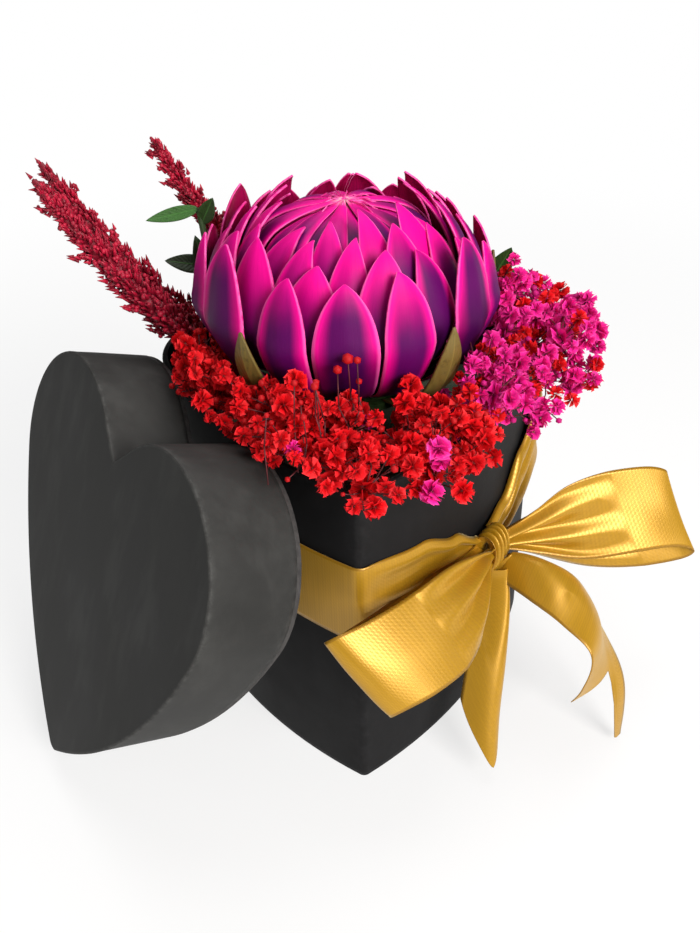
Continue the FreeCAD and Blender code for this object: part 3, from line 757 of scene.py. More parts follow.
class FLOWERBOX_OT_ribbon(bpy.types.Operator):
    """Gold satin ribbon: the band round the box, the knot, two loops and two tails"""
    bl_idname = "flowerbox.ribbon"
    bl_label = "Ribbon and bow"

    def execute(self, context):
        heart = Heart()
        knot = KnotFrame(heart)
        satin = satin_finish()
        self.band(heart, satin)
        self.loops(knot, satin)
        self.tails(knot, satin)
        self.knot(knot, satin)
        return {"FINISHED"}

    def band(self, heart, satin):
        """Round the box from one side of the knot to the other, drawn together there and slack behind it."""
        s = sizes()
        clear = 0.004
        pleats, phase, tight = 2.5, 0.4, 0.6
        long = 2 * heart.half_round - 2 * clear
        # millimetres on from the knot, rise of the band's middle, share of its width, room to the box
        course = ((0, -8, 0.34, 2.6), (16, -7, 0.46, 1.6), (34, 2, 0.82, 2.4), (56, 13, 0.97, 4.2),
                  (84, 14, 1, 2.2), (120, 9, 1, 0.6), (200, 2, 1, 0.45), (300, 0, 1, 0.45), (400, 0, 1, 0.45),
                  (446, 0, 1, 0.45), (474, -2, 0.93, 0.5), (494, -5, 0.66, 0.9), (long / MM, -8, 0.34, 2.4))

        def at(run):
            run = run / MM
            for low, high in zip(course, course[1:]):
                if run <= high[0]:
                    share = ease(low[0], high[0], run)
                    return [a + (b - a) * share for a, b in zip(low[1:], high[1:])]
            return course[-1][1:]

        def place(u, v):
            run = v * long
            rise, share, room = at(run)
            along = s.knot_along + clear + run
            if along > heart.half_round:
                along -= 2 * heart.half_round
            point, _, out = heart.edge(along)
            fold = pleated(share, s.ribbon_width, pleats, phase, u)
            height = s.ribbon_level + rise * MM + (u - 0.5) * s.ribbon_width * share
            stand = room * MM + max(fold, -room * MM * tight)
            return point + out * stand + UP * height

        maker = Maker()
        maker.grid(22, 420, place, scale=(s.ribbon_width, long))
        obj = maker.piece("band", [satin], "box", "gold_ribbon", ["ribbon_band"])
        thicken(obj, RIBBON_THICK, offset=0.0)

    def loops(self, knot, satin):
        """Out from the knot and back to it, on either side."""
        left = ((-5, 2.5, 1, 0, 0, -1, 0.24), (-9, 2.8, 1, 0, 0.05, -1, 0.27),
                (-18, 5.5, 2, 0.03, 0.3, -0.95, 0.5), (-34, 8.5, 1.5, 0.08, 0.5, -0.86, 0.86),
                (-54, 8.5, 0.5, 0.12, 0.6, -0.78, 1), (-73, 4.5, 0.5, 0.135, 0.68, -0.72, 1),
                (-86, -1.5, -1, 0.135, 0.68, -0.72, 1), (-88, -6, -5, 0.135, 0.68, -0.72, 1),
                (-76, -5.5, -9, 0.135, 0.68, -0.72, 1), (-54, -2.5, -10, 0.12, 0.55, -0.8, 1),
                (-34, 0, -7, 0.08, 0.4, -0.9, 0.85), (-18, -0.5, -3, 0.03, 0.2, -0.96, 0.5),
                (-9, -2.3, -1, 0, 0, -1, 0.26), (-5, -2.5, -1, 0, 0, -1, 0.24))
        ribbon("loop_left", "bow_loop_left", knot, left, satin, phase=0.9, bow=0.004)
        right = ((5, 2.5, 1, 0, 0, -1, 0.24), (9, 4, 1, 0, 0, -1, 0.27),
                 (19, 13, 2.5, -0.05, 0.2, -0.95, 0.55), (31, 25, 5, -0.1, 0.4, -0.9, 0.9),
                 (46, 39, 7.5, -0.13, 0.5, -0.85, 1), (60, 51, 6.5, -0.13, 0.51, -0.85, 1),
                 (67, 57, 2.5, -0.13, 0.51, -0.85, 1), (66, 53.5, -3, -0.13, 0.51, -0.85, 1),
                 (55, 40, -6, -0.13, 0.51, -0.85, 1), (38, 23, -5, -0.1, 0.45, -0.88, 0.9),
                 (20, 7.5, -2, -0.05, 0.2, -0.95, 0.5), (9, -0.5, -0.8, 0, 0, -1, 0.27),
                 (5, -2.5, -1, 0, 0, -1, 0.24))
        ribbon("loop_right", "bow_loop_right", knot, right, satin, phase=0.3, bow=0.003)

    def tails(self, knot, satin):
        """One tail down the front, cut to a point, and one over the side, cut to a prong."""
        front = ((-2, -1, -7, 1, 0, 0, 0.24), (-2.5, 0, -13, 1, 0.05, 0, 0.3), (-7, 3, -26, 1, 0.1, 0, 0.42),
                 (-15, 7, -44, 1, 0.2, 0, 0.56), (-24, 11, -62, 1, 0.3, 0, 0.6),
                 (-31, 14.5, -75, 1, 0.3, 0, 0.6), (-36, 17.5, -85, 1, 0.3, 0, 0.58))
        ribbon("tail_front", "ribbon_tail_front", knot, front, satin, pleats=0.5,
               cut=lambda u: 0.62 + 0.38 * (1 - abs(2 * u - 1) ** 1.2))
        side = ((2, 2, -8, 1, 0, 0, 0.24), (2.5, 6, -11, 1, 0, 0, 0.3), (5, 20, -12.5, 1, -0.1, 0, 0.6),
                (7, 34, -17, 0.95, -0.3, -0.05, 0.88), (6, 45, -26, 0.9, -0.43, -0.13, 0.96),
                (4.5, 50, -42, 0.97, -0.12, -0.05, 0.98), (2, 52, -58, 0.93, 0.37, 0, 0.98),
                (0, 54, -73, 0.9, 0.44, 0, 0.98), (-2, 55, -87, 0.9, 0.44, 0, 0.98))
        ribbon("tail_right", "ribbon_tail_right", knot, side, satin, pleats=0.5,
               cut=lambda u: 0.68 + 0.32 * ease(0.70, 0.90, u))

    def knot(self, knot, satin):
        """One gathered turn of ribbon over the place where loops and tails meet."""
        s = sizes()
        half_long, half_out, half_up, lean = 6.2, 4.6, 8.2, 1.5
        pleats, depth, phase, sway, ends = 4.5, 1.95, 0.8, 0.9, 0.8
        weld = 0.00002

        def place(u, v):
            a = 2 * math.pi * v
            x = 2 * u - 1
            fold = depth * math.sin(2 * math.pi * pleats * u + phase + sway * math.sin(a)) - ends * x * x
            along = half_long * x + lean * math.sin(a)
            return knot.point(along, (half_out + fold) * math.cos(a), (half_up + fold) * math.sin(a))

        maker = Maker()
        long = 2 * math.pi * math.sqrt((half_out ** 2 + half_up ** 2) / 2) * MM
        maker.grid(54, 48, place, scale=(s.ribbon_width, long))
        bmesh.ops.remove_doubles(maker.bm, verts=maker.bm.verts, dist=weld)
        bmesh.ops.recalc_face_normals(maker.bm, faces=maker.bm.faces)
        obj = maker.piece("knot", [satin], "box", "gold_ribbon", ["bow_knot"])
        thicken(obj, RIBBON_THICK, offset=0.0)


# Protea

class FLOWERBOX_OT_protea(bpy.types.Operator):
    """Protea: rings of pointed bracts, closed inner bracts, green-brown basal bracts, seat and stem"""
    bl_idname = "flowerbox.protea"
    bl_label = "Protea"
    ring_counts = (14, 14, 13, 12)
    ring_step = 0.0054
    ring_rise = 0.0026
    foot_rise = 0.003
    belly_rise = 0.034
    tip_rise = 0.066
    tip_draw = 0.007
    draw_step = 0.0046
    seat_radius = 0.025
    seat_step = 0.0046
    seat_rise = 0.003
    ring_narrower = 0.0015
    ring_paler = 0.08
    turn_share = 0.08
    # from least to most in a ring: turn, lift, width, cup, fold, tone, twist and sway of a bract
    bract_spans = ((-1, 1), (-0.006, 0.0045), (0.86, 1.14), (0.22, 0.42), (0.0, 0.12), (-0.75, 0.25),
                   (-0.10, 0.10), (-0.26, 0.26))
    bract_thick = 0.0008
    # inner bracts as radius, height from the apex and share of the width, and how far they differ:
    # turn, drop, bulge, bend and tone
    dome = ((0.0360, -0.034, 1.0), (0.0372, -0.024, 1.0), (0.0352, -0.0145, 0.96), (0.0290, -0.0075, 0.82),
            (0.0190, -0.0030, 0.58), (0.0090, -0.0008, 0.32), (0.0012, 0.0008, 0.07))
    inner_spans = ((-0.2, 0.2), (0, 0.0006), (0.0014, 0.0026), (-0.0012, 0.0012), (-0.1, 0.5))
    inner_count = 22
    inner_overlap = 1.3
    inner_drop = 0.0013
    inner_thick = 0.0005
    dome_gap = 0.0016
    stamens = 24
    stamen_radius = 0.00028
    stamen_long = (0.006, 0.019)
    basal_count = 5
    basal_start, basal_turn = -127, 72
    basal_width = 0.0125
    basal_out = 0.003
    basal_rise = 0.043
    basal_thick = 0.0009

    def execute(self, context):
        s = sizes()
        self.random = random.Random(s.seed)
        self.middle = Vector((s.bloom_x, s.bloom_y, 0))
        self.seat_level = s.box_height + self.foot_rise
        outside = bract_finish("bract_outside", False)
        inside = inner_bract_finish()
        rim = edge_finish()
        for ring, count in enumerate(self.ring_counts):
            self.ring(ring, count, [outside, inside, rim])
        self.core([bract_finish("inner_bract", True), inside, rim])
        self.basal()
        dress(stalk_finish("green_stem", shaded(colours().leaf, 1.2)), "protea_receptacle", "protea_stem")
        return {"FINISHED"}

    def draws(self, spans):
        """One draw from each span, in their order."""
        return [self.random.uniform(low, high) for low, high in spans]

    def meridian(self, ring, lift):
        """Stations of (radius, height, share of the width) from a ring's seat up to its tips."""
        s = sizes()
        belly = s.bloom_radius - ring * self.ring_step
        seat = self.seat_radius - ring * self.seat_step
        foot = self.seat_level + ring * self.seat_rise
        wide = self.seat_level + self.belly_rise + ring * self.ring_rise
        crown = self.tip_rise - self.belly_rise + lift
        rise = wide - foot
        flare = belly - seat
        draw = self.tip_draw + ring * self.draw_step
        return ((seat, foot, 0.30), (seat + 0.34 * flare, foot + 0.14 * rise, 0.55),
                (seat + 0.74 * flare, foot + 0.46 * rise, 0.84), (belly, wide, 1.0),
                (belly - 0.10 * draw, wide + 0.35 * crown, 0.93),
                (belly - 0.36 * draw, wide + 0.65 * crown, 0.71),
                (belly - 0.70 * draw, wide + 0.88 * crown, 0.36), (belly - draw, wide + crown, 0.03))

    def bract(self, maker, meridian, width, angle, cup, fold, tone, twist, sway=0.0):
        """One bract along a meridian, cupped across it, folded at its foot and rolled out at its sides."""
        out = direction(angle)
        side = UP.cross(out)

        def place(u, v):
            radius, height, share = through(meridian, v)
            x = 2 * u - 1
            half = share * width / 2
            curl = cup * half * x * x - fold * half * max(0, 1 - abs(x) * 3) * (1 - v)
            roll = 0.10 * half * ease(0.75, 1.0, abs(x)) * ease(0.3, 0.7, v)
            outwards = radius - curl + roll + twist * half * x * v
            sideways = half * x + sway * width * v ** 3
            return self.middle + out * outwards + side * sideways + UP * height

        maker.grid(12, 22, place, tone)

    def ring(self, ring, count, finishes):
        maker = Maker()
        start = math.radians(-90) + (ring % 2) * math.pi / count
        width = sizes().bract_width - ring * self.ring_narrower
        for i in range(count):
            turn, lift, share, cup, fold, tone, twist, sway = self.draws(self.bract_spans)
            angle = start + 2 * math.pi * i / count + self.turn_share * turn
            self.bract(maker, self.meridian(ring, lift), width * share, angle, cup, fold,
                       tone + self.ring_paler * ring, twist, sway)
        name = "bracts_%d" % (ring + 1)
        obj = maker.piece(name, finishes, "box", "protea_bract", ["protea_" + name])
        thicken(obj, self.bract_thick, inside=1, rim=2)

    def core(self, finishes):
        """Inner bracts that close over the middle and meet in a pale star."""
        maker = Maker()
        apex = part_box("protea_core")[1][2]
        dome = [(radius, apex + height, share) for radius, height, share in self.dome]
        count = self.inner_count
        width = 2 * math.pi * dome[1][0] / count * self.inner_overlap
        for i in range(count):
            turn, drop, bulge, bend, tone = self.draws(self.inner_spans)
            out = direction(2 * math.pi * (i + turn) / count)
            side = UP.cross(out)
            drop = self.inner_drop * (i % 2) + drop

            def place(u, v):
                radius, height, share = through(dome, v)
                x = 2 * u - 1
                half = share * width / 2
                rise = bulge * (1 - abs(x) ** 1.5) * share - drop
                steep = ease(0.0, 0.75, v)
                lift = (out * (1 - steep) + UP * steep) * rise
                sway = bend * math.sin(math.pi * v)
                return self.middle + out * radius + side * (half * x + sway) + UP * height + lift

            maker.grid(8, 24, place, tone)
        for i in range(self.stamens):
            self.stamen(maker, apex)
        self.under_dome(maker, dome)
        obj = maker.piece("inner_bracts", finishes, "box", "protea_core", ["protea_core"])
        thicken(obj, self.inner_thick, inside=1, rim=2)

    def stamen(self, maker, apex):
        """A thin pale thread lying out from the middle over the inner bracts."""
        angle = self.random.uniform(0, 2 * math.pi)
        long = self.random.uniform(*self.stamen_long)
        out = direction(angle)
        start = self.middle + UP * (apex + 0.0002) + out * 0.0005
        bend = start + out * (0.5 * long) + UP * 0.0006
        end = start + out * long - UP * (0.00035 * (long / 0.005) ** 2)
        maker.stalk([start, bend, end], self.stamen_radius, STEM_TONE, 2)

    def under_dome(self, maker, dome):
        """A plain closed skin just under the inner bracts, in the inside finish, whose darkened lower part is
        painted shade seen between them.
        """
        def place(u, v):
            radius, height, _ = through(dome, v)
            out = direction(2 * math.pi * u)
            return self.middle + out * max(radius - self.dome_gap, 0) + UP * (height - self.dome_gap)
        maker.grid(48, 14, place, 0.0, 1)

    def basal(self):
        """Short pointed bracts at the foot of the bloom."""
        maker = Maker()
        outer = sizes().bloom_radius + self.basal_out
        seat = self.seat_radius + self.seat_step
        low = self.seat_level - self.seat_rise
        tip = self.seat_level + self.basal_rise
        lines = ((seat, low, 0.7), (seat + 0.4 * (outer - seat), low + 0.004, 0.9),
                 (seat + 0.8 * (outer - seat), low + 0.017, 1.05),
                 (outer, self.seat_level + self.belly_rise - 0.004, 0.8), (outer + 0.001, tip, 0.06))
        for i in range(self.basal_count):
            angle = math.radians(self.basal_start + self.basal_turn * i)
            tone, twist = self.draws(((0.2, 0.9), (-0.2, 0.2)))
            self.bract(maker, lines, self.basal_width, angle, 0.25, 0.15, tone, twist)
        c = colours()
        finish = leaf_finish("basal_bract", c.basal, shaded(c.basal, 1.7))
        obj = maker.piece("basal_bracts", [finish], "box", "basal_bract", ["protea_basal_bracts"])
        thicken(obj, self.basal_thick)


# Amaranth

class FLOWERBOX_OT_amaranth(bpy.types.Operator):
    """Amaranth spikes: tapering stems crowded with small pointed florets"""
    bl_idname = "flowerbox.amaranth"
    bl_label = "Amaranth"
    # start of the flowers, tip, widest radius, in millimetres with heights above the rim
    spikes = {
        "front": ((-67, 23, 10), (-124, 27, 83), 8.0),
        "middle": ((-67, 41, 5), (-125, 43, 85), 8.0),
        "back": ((-52, 62, 40), (-82, 66, 87), 5.0),
    }
    florets = 820
    full_radius = 0.008
    bend = 0.05
    stem_radius = 0.0017
    core_steps = 12
    core_share = 0.62
    spikelets = 16
    spikelet_florets = 14
    spikelet_spread = 0.0011
    tip_florets = 6
    seed_radius = (0.0009, 0.0014)
    scale_long, scale_radius, scale_end = 0.0036, 0.0011, 0.0001

    def execute(self, context):
        finish = amaranth_finish()
        stem = stalk_finish("amaranth_stem", shaded(colours().amaranth, 0.6))
        for name, (start, tip, radius) in self.spikes.items():
            self.spike(name, above_rim(start), above_rim(tip), radius * MM, [finish, stem])
        return {"FINISHED"}

    def spike(self, name, start, tip, radius, finishes):
        rnd = random.Random(sizes().seed + len(name))
        maker = Maker()
        axis = (tip - start).normalized()
        long = (tip - start).length
        side = axis.orthogonal().normalized()
        other = axis.cross(side)
        sag = Vector((0, 0, -1)) - axis * -axis.z

        def middle(share):
            return start + axis * (long * share) + sag * (self.bend * long * math.sin(math.pi * share))

        def wide(share):
            return radius * (0.22 + 0.78 * ease(-0.06, 0.2, share)) * (1 - 0.72 * share ** 1.5)

        def outwards(turn):
            return side * math.cos(turn) + other * math.sin(turn)

        maker.stalk([stem_root(start), start, middle(0.3)], self.stem_radius, STEM_TONE, 1)
        shares = [i / self.core_steps for i in range(self.core_steps + 1)]
        for low, high in zip(shares, shares[1:]):
            low_radius, high_radius = self.core_share * wide(low), self.core_share * wide(high)
            # the core gets a low tone: painted shade seen between the florets
            maker.cone(middle(low), middle(high), low_radius, high_radius, 8, 0.1)
        count = int(self.florets * radius / self.full_radius)
        for i in range(count):
            share = (i + rnd.random()) / count
            turn = i * GOLDEN_TURN + rnd.uniform(-0.3, 0.3)
            out = outwards(turn)
            # the lump pushes florets out and, through their tone, paints those that stand out lighter and
            # those set deeper darker: painted shade
            lump = noise.noise(Vector((1.4 * math.cos(turn), 1.4 * math.sin(turn), share * 15 + len(name))))
            reach = wide(share) * (rnd.uniform(0.55, 0.82) + 0.45 * lump)
            foot = middle(share * 0.97) + out * reach
            point = (axis * rnd.uniform(0.5, 0.95) + out * rnd.uniform(0.45, 0.9)).normalized()
            size = rnd.uniform(0.8, 1.2) * (1.15 - 0.45 * share)
            self.floret(maker, rnd, foot, point, size, 0.5 + lump)
        for i in range(self.spikelets):
            share = 0.08 + 0.86 * (i + rnd.random()) / self.spikelets
            out = outwards(i * GOLDEN_TURN)
            foot = middle(share) + out * (0.7 * wide(share))
            point = (axis + out * rnd.uniform(0.35, 0.8)).normalized()
            reach = rnd.uniform(0.006, 0.010) * (1.1 - 0.4 * share)
            for j in range(self.spikelet_florets):
                spread = Vector([rnd.uniform(-1, 1) for _ in range(3)]) * self.spikelet_spread
                place = foot + point * (reach * j / self.spikelet_florets) + spread
                self.floret(maker, rnd, place, point, 0.85, rnd.random())
        for i in range(self.tip_florets):
            foot = middle(1.0) - axis * (0.005 - 0.0012 * i)
            self.floret(maker, rnd, foot, axis, 0.9, rnd.random())
        maker.piece("amaranth_" + name, finishes, "box", "amaranth_red", ["amaranth_spike_" + name])

    def floret(self, maker, rnd, foot, point, size, tone):
        """A round seed or a pointed scale."""
        tone = min(max(tone + rnd.uniform(-0.3, 0.3), 0), 1)
        if rnd.random() < 0.5:
            maker.bead(foot, rnd.uniform(*self.seed_radius) * size, tone)
        else:
            end = foot + point * (self.scale_long * size)
            maker.cone(foot, end, self.scale_radius * size, self.scale_end, 5, tone)


# Gypsophila

class Room:
    """What a small blossom must keep clear of: solids round it and blossoms already placed."""
    above_rim = 0.3
    blossom_share = 0.8
    solid_gap = 0.0008

    def __init__(self, nodes):
        self.taken = []
        self.trees = []
        for node in nodes:
            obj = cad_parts[node]
            points = [obj.matrix_world @ v.co for v in obj.data.vertices]
            self.trees.append(BVHTree.FromPolygons(points, [p.vertices for p in obj.data.polygons]))

    def free(self, middle, radius):
        if middle.z < sizes().box_height + self.above_rim * radius:
            return False
        share = self.blossom_share
        if any((middle - place).length < share * (radius + other) for place, other in self.taken):
            return False
        if any(tree.find_nearest(middle, radius + self.solid_gap)[0] is not None for tree in self.trees):
            return False
        self.taken.append((middle, radius))
        return True


class FLOWERBOX_OT_gypsophila(bpy.types.Operator):
    """Gypsophila sprays: forked thin stems with ruffled blossoms and small buds"""
    bl_idname = "flowerbox.gypsophila"
    bl_label = "Gypsophila"
    # blossoms as (along the rim, out from it, up from it) in millimetres
    over_rim = ((-11, -6, 9), (1, -8, 12), (11, -6, 8), (-5, 3, 11), (6, 3, 12), (-12, 9, 3), (1, 11, 2),
                (11, 9, 4))
    in_rim = ((-13, -6, 8), (0.3, -7, 9), (13, -6, 9), (-7, -5.5, 20), (7, -5.5, 19), (-7, -15, 6),
              (7, -15, 5))
    low_rim = ((-8, -7, 7), (1, -6, 12), (9, -7, 6), (-6, -16, 5), (6, -16, 4))
    at_tip = ((-13, -32, 14), (0, -31, 16), (13, -32, 13), (-8, -21, 11), (8, -21, 12), (0, -12, 9),
              (1, 2, 5))
    pink_front = ((-12, -5, 8), (1, -8, 11), (-1, -5, 25), (5, 3, 9), (15, 4, 10), (14, 15, 3), (-7, 6, 17))
    pink_side = ((-12, 0, 11), (1, -9, 20), (4, -1, 11), (14, -2, 9), (-4, 8, 10), (5, 13, 20), (1, 21, 2))
    pink_back = ((-12, -19, 30), (-9, -14, 21), (-12, -5, 14), (-8, 4, 9), (-5, 15, 10), (5, -3, 12),
                 (10, 8, 6))
    # place along the rim in millimetres, pattern, how far out its small blossoms may go
    sprays = {
        "red_spray_left": (-115.5, low_rim, 0.2),
        "red_spray_middle": (-83.4, in_rim, 1.0),
        "red_spray_left_front": (-46, in_rim, 1.0),
        "red_spray_tip": (0, at_tip, 1.0),
        "red_spray_right": (38, over_rim, 1.0),
        "pink_spray_front": (72, pink_front, 1.0),
        "pink_spray_side": (110, pink_side, 1.0),
        "pink_spray_back": (148, pink_back, 0.8),
    }
    # thin buds that stand up before the bloom
    tall = {"red_spray_tip": 14}
    # red sprays with a few pink blossoms between
    mixed = ("red_spray_tip", "red_spray_right")
    # what the small blossoms keep clear of
    neighbours = ("lid_wrap", "lid_wall", "lid_top", "box_wrap", "box_wall", "ribbon_band", "bow_knot",
                  "bow_loop_right", "protea_bracts_1", "protea_basal_bracts", "amaranth_spike_front",
                  "amaranth_spike_middle")
    tries = 26
    buds = 8
    # least and most: how far off and how large small blossoms, buds and tall buds are
    small_far, small_share = (0.0065, 0.016), (0.5, 0.85)
    bud_far, bud_radius = (0.007, 0.015), (0.0009, 0.0017)
    tall_across, tall_in, tall_up, tall_radius = (-24, 16), (-26, -18), (22, 42), (0.0011, 0.0024)
    fork_rise = 0.0026
    fork_in = 0.009
    root_in = 0.016
    stem_radius = 0.0009
    branch_radius = 0.00026
    branch_bow = 0.12
    large_blossom = 0.0038
    large_petals, small_petals = 42, 28
    red_strays, pink_strays = 0.06, 0.25

    def execute(self, context):
        c = colours()
        stem = stalk_finish("spray_stem", c.stem)
        # the second colour of each blossom finish is the painted light on the petal tips
        red = blossom_finish("red_blossom", c.red, (0.95, 0.03, 0.04))
        pink = blossom_finish("pink_blossom", c.pink, (0.95, 0.10, 0.42))
        heart = Heart()
        self.room = Room(self.neighbours)
        sprays = [(name, heart.edge(place * MM), tuft, reach)
                  for name, (place, tuft, reach) in self.sprays.items()]
        for _, rim, tuft, _ in sprays:
            self.room.taken += [(self.at(rim, *blossom), sizes().puff_radius) for blossom in tuft]
        for name, rim, tuft, reach in sprays:
            shade, slot = (red, "gypsophila_red") if name.startswith("red") else (pink, "gypsophila_pink")
            other = pink if name in self.mixed else red
            self.spray(name, rim, tuft, reach, [shade, stem, other], slot)
        return {"FINISHED"}

    def at(self, rim, a, o, u):
        """A place along, out from and up from a place on the rim, in millimetres."""
        point, along, out = rim
        return point + (along * a + out * o + UP * u) * MM + UP * sizes().box_height

    def spray(self, name, rim, tuft, reach, finishes, slot):
        s = sizes()
        rnd = random.Random(name)
        maker = Maker()
        point, along, out = rim
        fork = point - out * self.fork_in + UP * (s.box_height + self.fork_rise)
        root = point - out * self.root_in + UP * (s.box_height - STEM_DEPTH)
        maker.stalk([root, fork], self.stem_radius, STEM_TONE, 1)
        strays = self.pink_strays if name.startswith("pink") else self.red_strays
        middles = [self.at(rim, *place) for place in tuft]
        for middle in middles:
            self.branch(maker, rnd, fork, middle)
            self.puff(maker, rnd, middle, s.puff_radius * rnd.uniform(0.9, 1.1), 0)
        for middle in middles:
            for _ in range(self.tries):
                near = middle + self.near(rnd, along, out, reach) * rnd.uniform(*self.small_far)
                radius = s.puff_radius * rnd.uniform(*self.small_share)
                if self.room.free(near, radius):
                    shade = 2 if rnd.random() < strays else 0
                    self.branch(maker, rnd, middle - UP * 0.003, near)
                    self.puff(maker, rnd, near, radius, shade)
            for _ in range(self.buds):
                near = middle + self.near(rnd, along, out, reach) * rnd.uniform(*self.bud_far)
                radius = rnd.uniform(*self.bud_radius)
                if self.room.free(near, radius):
                    self.branch(maker, rnd, middle - UP * 0.002, near)
                    maker.bead(near, radius, rnd.random() * 0.6)
        for _ in range(self.tall.get(name, 0)):
            across = rnd.uniform(*self.tall_across)
            end = self.at(rim, across, rnd.uniform(*self.tall_in), rnd.uniform(*self.tall_up))
            radius = rnd.uniform(*self.tall_radius)
            if self.room.free(end, radius):
                self.branch(maker, rnd, self.at(rim, across + rnd.uniform(-5, 5), -18, 6), end)
                maker.bead(end, radius, rnd.random() * 0.4)
        maker.piece(name + "_blossoms", finishes, "box", slot, [name])

    def near(self, rnd, along, out, reach):
        """A direction to a neighbour blossom, kept inside the rim where reach is low."""
        outward = rnd.uniform(-1, reach)
        return (along * rnd.uniform(-1, 1) + out * outward + UP * rnd.uniform(-0.35, 1)).normalized()

    def branch(self, maker, rnd, start, end):
        """A thin stem, bowed a little to one side and up."""
        bow = Vector((rnd.uniform(-1, 1), rnd.uniform(-1, 1), rnd.uniform(0, 1)))
        middle = start.lerp(end, 0.5) + bow * (self.branch_bow * (end - start).length)
        maker.stalk([start, middle, end], self.branch_radius, rnd.random(), 1)

    def puff(self, maker, rnd, middle, radius, shade):
        """A ruffled ball of small petals, each a cupped flap with a wavy end."""
        petals = self.large_petals if radius > self.large_blossom else self.small_petals
        tone = rnd.random()
        spin = rnd.uniform(0, ANY_TURN)
        for i in range(petals):
            lift = 1 - 2 * (i + 0.5) / petals
            ring = math.sqrt(1 - lift * lift)
            turn = i * GOLDEN_TURN + spin
            out = Vector((ring * math.cos(turn), ring * math.sin(turn), lift))
            side = out.orthogonal().normalized()
            side.rotate(Matrix.Rotation(rnd.uniform(0, ANY_TURN), 3, out))
            face = out.cross(side)
            long = radius * rnd.uniform(0.88, 1.10)
            wide = radius * rnd.uniform(0.28, 0.42)
            wave = rnd.uniform(-1, 1)

            def place(u, v):
                x = 2 * u - 1
                spread = 0.2 + 0.8 * v
                reach = long * spread + 0.12 * long * wave * x * v
                curve = wide * v * (0.3 + 0.5 * wave * x)
                return middle + out * reach + side * (wide * spread * x) + face * curve

            maker.grid(1, 1, place, tone, shade)


# Leaves

class FLOWERBOX_OT_leaves(bpy.types.Operator):
    """Leaf sprigs behind the bloom"""
    bl_idname = "flowerbox.leaves"
    bl_label = "Leaves"
    # in millimetres: stem's end, then each leaf as base along the stem, tip, width and how light it is
    sprigs = {
        "leaf_sprig_left": ((-63, 49, 62), ((1.0, (-86, 47, 58), 6.0, 0.7), (0.8, (-80, 46, 40), 8.0, 0.0),
                                            (0.62, (-66, 49, 50), 12.0, 0.1),
                                            (0.95, (-56, 44, 68), 7.0, 0.2))),
        "leaf_sprig_right": ((64, 46, 25), ((1.0, (71, 38, 44), 10.0, 0.3), (0.8, (76, 50, 30), 9.0, 0.2))),
    }
    stem_radius = 0.0013
    blade_thick = 0.0005
    facing = Vector((0.2, -1, 0.6))

    def execute(self, context):
        c = colours()
        leaf = leaf_finish("green_leaf", shaded(c.leaf, 0.45), (0.05, 0.17, 0.03))
        stem = stalk_finish("leaf_stem", shaded(c.leaf, 0.8))
        for name, (end, leaves) in self.sprigs.items():
            self.sprig(name, above_rim(end), leaves, [leaf, stem])
        return {"FINISHED"}

    def sprig(self, name, end, leaves, finishes):
        maker = Maker()
        root = stem_root(end)
        maker.stalk([root, root.lerp(end, 0.6), end], self.stem_radius, STEM_TONE, 1)
        for share, tip, width, light in leaves:
            self.blade(maker, root.lerp(end, share), above_rim(tip), width * MM, light)
        obj = maker.piece(name + "_blades", finishes, "box", "leaf_green", [name])
        thicken(obj, self.blade_thick, offset=0.0)

    def blade(self, maker, base, tip, width, light):
        """A pointed leaf, folded along its middle and hanging a little."""
        run = tip - base
        across = run.cross(self.facing).normalized()
        face = across.cross(run).normalized()

        def place(u, v):
            x = 2 * u - 1
            half = width / 2 * (math.sin(math.pi * min(v ** 0.8, 1)) ** 0.8 + 0.06 * (1 - v))
            fold = 0.25 * half * abs(x) + 0.08 * run.length * (v * v - v)
            return base + run * v + across * (half * x) + face * fold

        maker.grid(8, 16, place, light)


# Stage

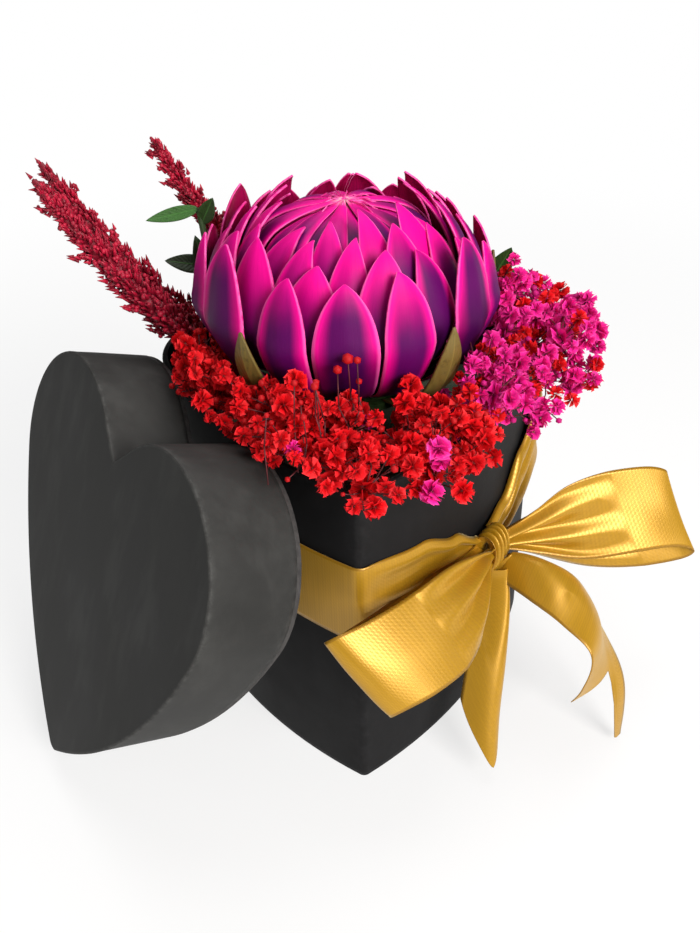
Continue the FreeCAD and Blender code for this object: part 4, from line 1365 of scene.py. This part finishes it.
class FLOWERBOX_OT_stage(bpy.types.Operator):
    """Pale floor, soft lights and the camera"""
    bl_idname = "flowerbox.stage"
    bl_label = "Stage"
    # of the camera: its place, and its picture's axes and sizes in pixels
    eye = (-0.00528, -0.34902, 0.34740)
    right = (0.9994, -0.0262, -0.0234)
    down = (-0.0338, -0.5345, -0.8445)
    forward = (0.0096, 0.8447, -0.5351)
    focal_pixels = 950
    picture_height = 933
    middle_row = 433
    sensor = 36.0
    # name, place, aim, size, power, colour
    lamps = (
        ("key", (0.62, -0.92, 0.72), (0.0, 0.0, 0.12), 0.6, 20.0, (1.0, 0.97, 0.94)),
        ("fill", (-0.9, -0.5, 0.7), (0.0, 0.0, 0.12), 0.8, 1.2, (0.97, 1.0, 0.98)),
        ("top", (0.0, 0.25, 1.1), (0.0, 0.0, 0.15), 0.8, 6.5, (1.0, 1.0, 1.0)),
    )
    floor_size = 3.0
    world_light = 0.14

    def execute(self, context):
        self.floor()
        self.lights(context)
        self.camera(context)
        context.scene.view_settings.view_transform = "Standard"
        return {"FINISHED"}

    def floor(self):
        bm = bmesh.new()
        bmesh.ops.create_grid(bm, x_segments=1, y_segments=1, size=self.floor_size)
        mesh = bpy.data.meshes.new("floor")
        bm.to_mesh(mesh)
        bm.free()
        obj = bpy.data.objects.new("floor", mesh)
        bpy.context.scene.collection.objects.link(obj)
        f = Finish("pale_floor", 0.9, Specular_IOR_Level=0.1)
        f.shader.inputs["Base Color"].default_value = (*colours().floor, 1)
        glow = f.node("ShaderNodeEmission", {"Color": (1, 1, 1, 1), "Strength": 1.0})
        path = f.node("ShaderNodeLightPath")
        seen = f.math("MAXIMUM", path.outputs["Is Camera Ray"], path.outputs["Is Glossy Ray"])
        seen = f.math("MAXIMUM", seen, path.outputs["Is Transmission Ray"])
        coords = f.node("ShaderNodeTexCoord")
        away = f.node("ShaderNodeVectorMath", {0: coords.outputs["Object"]}, operation="LENGTH")
        share = f.times(seen, f.span(away.outputs["Value"], 0.2, 0.8, 0.72, 1.0))
        blend = f.node("ShaderNodeMixShader", {0: share, 1: f.shader.outputs["BSDF"],
                                               2: glow.outputs["Emission"]})
        f.tree.links.new(blend.outputs[0], f.tree.nodes["Material Output"].inputs["Surface"])
        mesh.materials.append(f.material)

    def lights(self, context):
        for name, place, aim, size, power, colour in self.lamps:
            data = bpy.data.lights.new(name, "AREA")
            data.size = size
            data.energy = power
            data.color = colour
            lamp = bpy.data.objects.new(name, data)
            lamp.location = place
            lamp.rotation_euler = (Vector(aim) - Vector(place)).to_track_quat("-Z", "Y").to_euler()
            context.scene.collection.objects.link(lamp)
        world = bpy.data.worlds.new("studio")
        context.scene.world = world
        world.use_nodes = True
        tree = world.node_tree
        back = tree.nodes["Background"]
        back.inputs["Color"].default_value = (1, 1, 1, 1)
        path = tree.nodes.new("ShaderNodeLightPath")
        level = tree.nodes.new("ShaderNodeMapRange")
        level.inputs["To Min"].default_value = self.world_light
        level.inputs["To Max"].default_value = 1.0
        tree.links.new(path.outputs["Is Camera Ray"], level.inputs["Value"])
        tree.links.new(level.outputs["Result"], back.inputs["Strength"])

    def camera(self, context):
        data = bpy.data.cameras.new("camera")
        tall = self.picture_height
        data.sensor_fit = "VERTICAL"
        data.sensor_height = self.sensor
        data.lens = self.focal_pixels / tall * data.sensor_height
        data.shift_y = (self.middle_row - tall / 2) / tall
        data.clip_start = 0.01
        camera = bpy.data.objects.new("camera", data)
        turn = Matrix((Vector(self.right), -Vector(self.down), -Vector(self.forward))).transposed()
        camera.matrix_world = Matrix.Translation(self.eye) @ turn.to_4x4()
        context.scene.collection.objects.link(camera)
        context.scene.camera = camera


PIECES = (FLOWERBOX_OT_box, FLOWERBOX_OT_lid, FLOWERBOX_OT_ribbon, FLOWERBOX_OT_protea, FLOWERBOX_OT_amaranth,
          FLOWERBOX_OT_gypsophila, FLOWERBOX_OT_leaves, FLOWERBOX_OT_stage)


class FLOWERBOX_PT_panel(bpy.types.Panel):
    """The flower box's pieces, sizes and colours"""
    bl_label = "Flower Box"
    bl_idname = "FLOWERBOX_PT_panel"
    bl_space_type = "VIEW_3D"
    bl_region_type = "UI"
    bl_category = "Flower Box"

    def draw(self, context):
        layout = self.layout
        for piece in PIECES:
            layout.operator(piece.bl_idname)
        for group in (context.scene.flower_box_sizes, context.scene.flower_box_colours):
            box = layout.box()
            for name in group.__annotations__:
                box.prop(group, name)


CLASSES = (FlowerBoxSizes, FlowerBoxColours, *PIECES, FLOWERBOX_PT_panel)


def register():
    for cls in CLASSES:
        bpy.utils.register_class(cls)
    bpy.types.Scene.flower_box_sizes = PointerProperty(type=FlowerBoxSizes)
    bpy.types.Scene.flower_box_colours = PointerProperty(type=FlowerBoxColours)


def unregister():
    del bpy.types.Scene.flower_box_colours
    del bpy.types.Scene.flower_box_sizes
    for cls in reversed(CLASSES):
        bpy.utils.unregister_class(cls)


def main():
    register()
    bpy.ops.flowerbox.box()
    bpy.ops.flowerbox.lid()
    bpy.ops.flowerbox.ribbon()
    bpy.ops.flowerbox.protea()
    bpy.ops.flowerbox.amaranth()
    bpy.ops.flowerbox.gypsophila()
    bpy.ops.flowerbox.leaves()
    bpy.ops.flowerbox.stage()


if __name__ == "__main__":
    main()
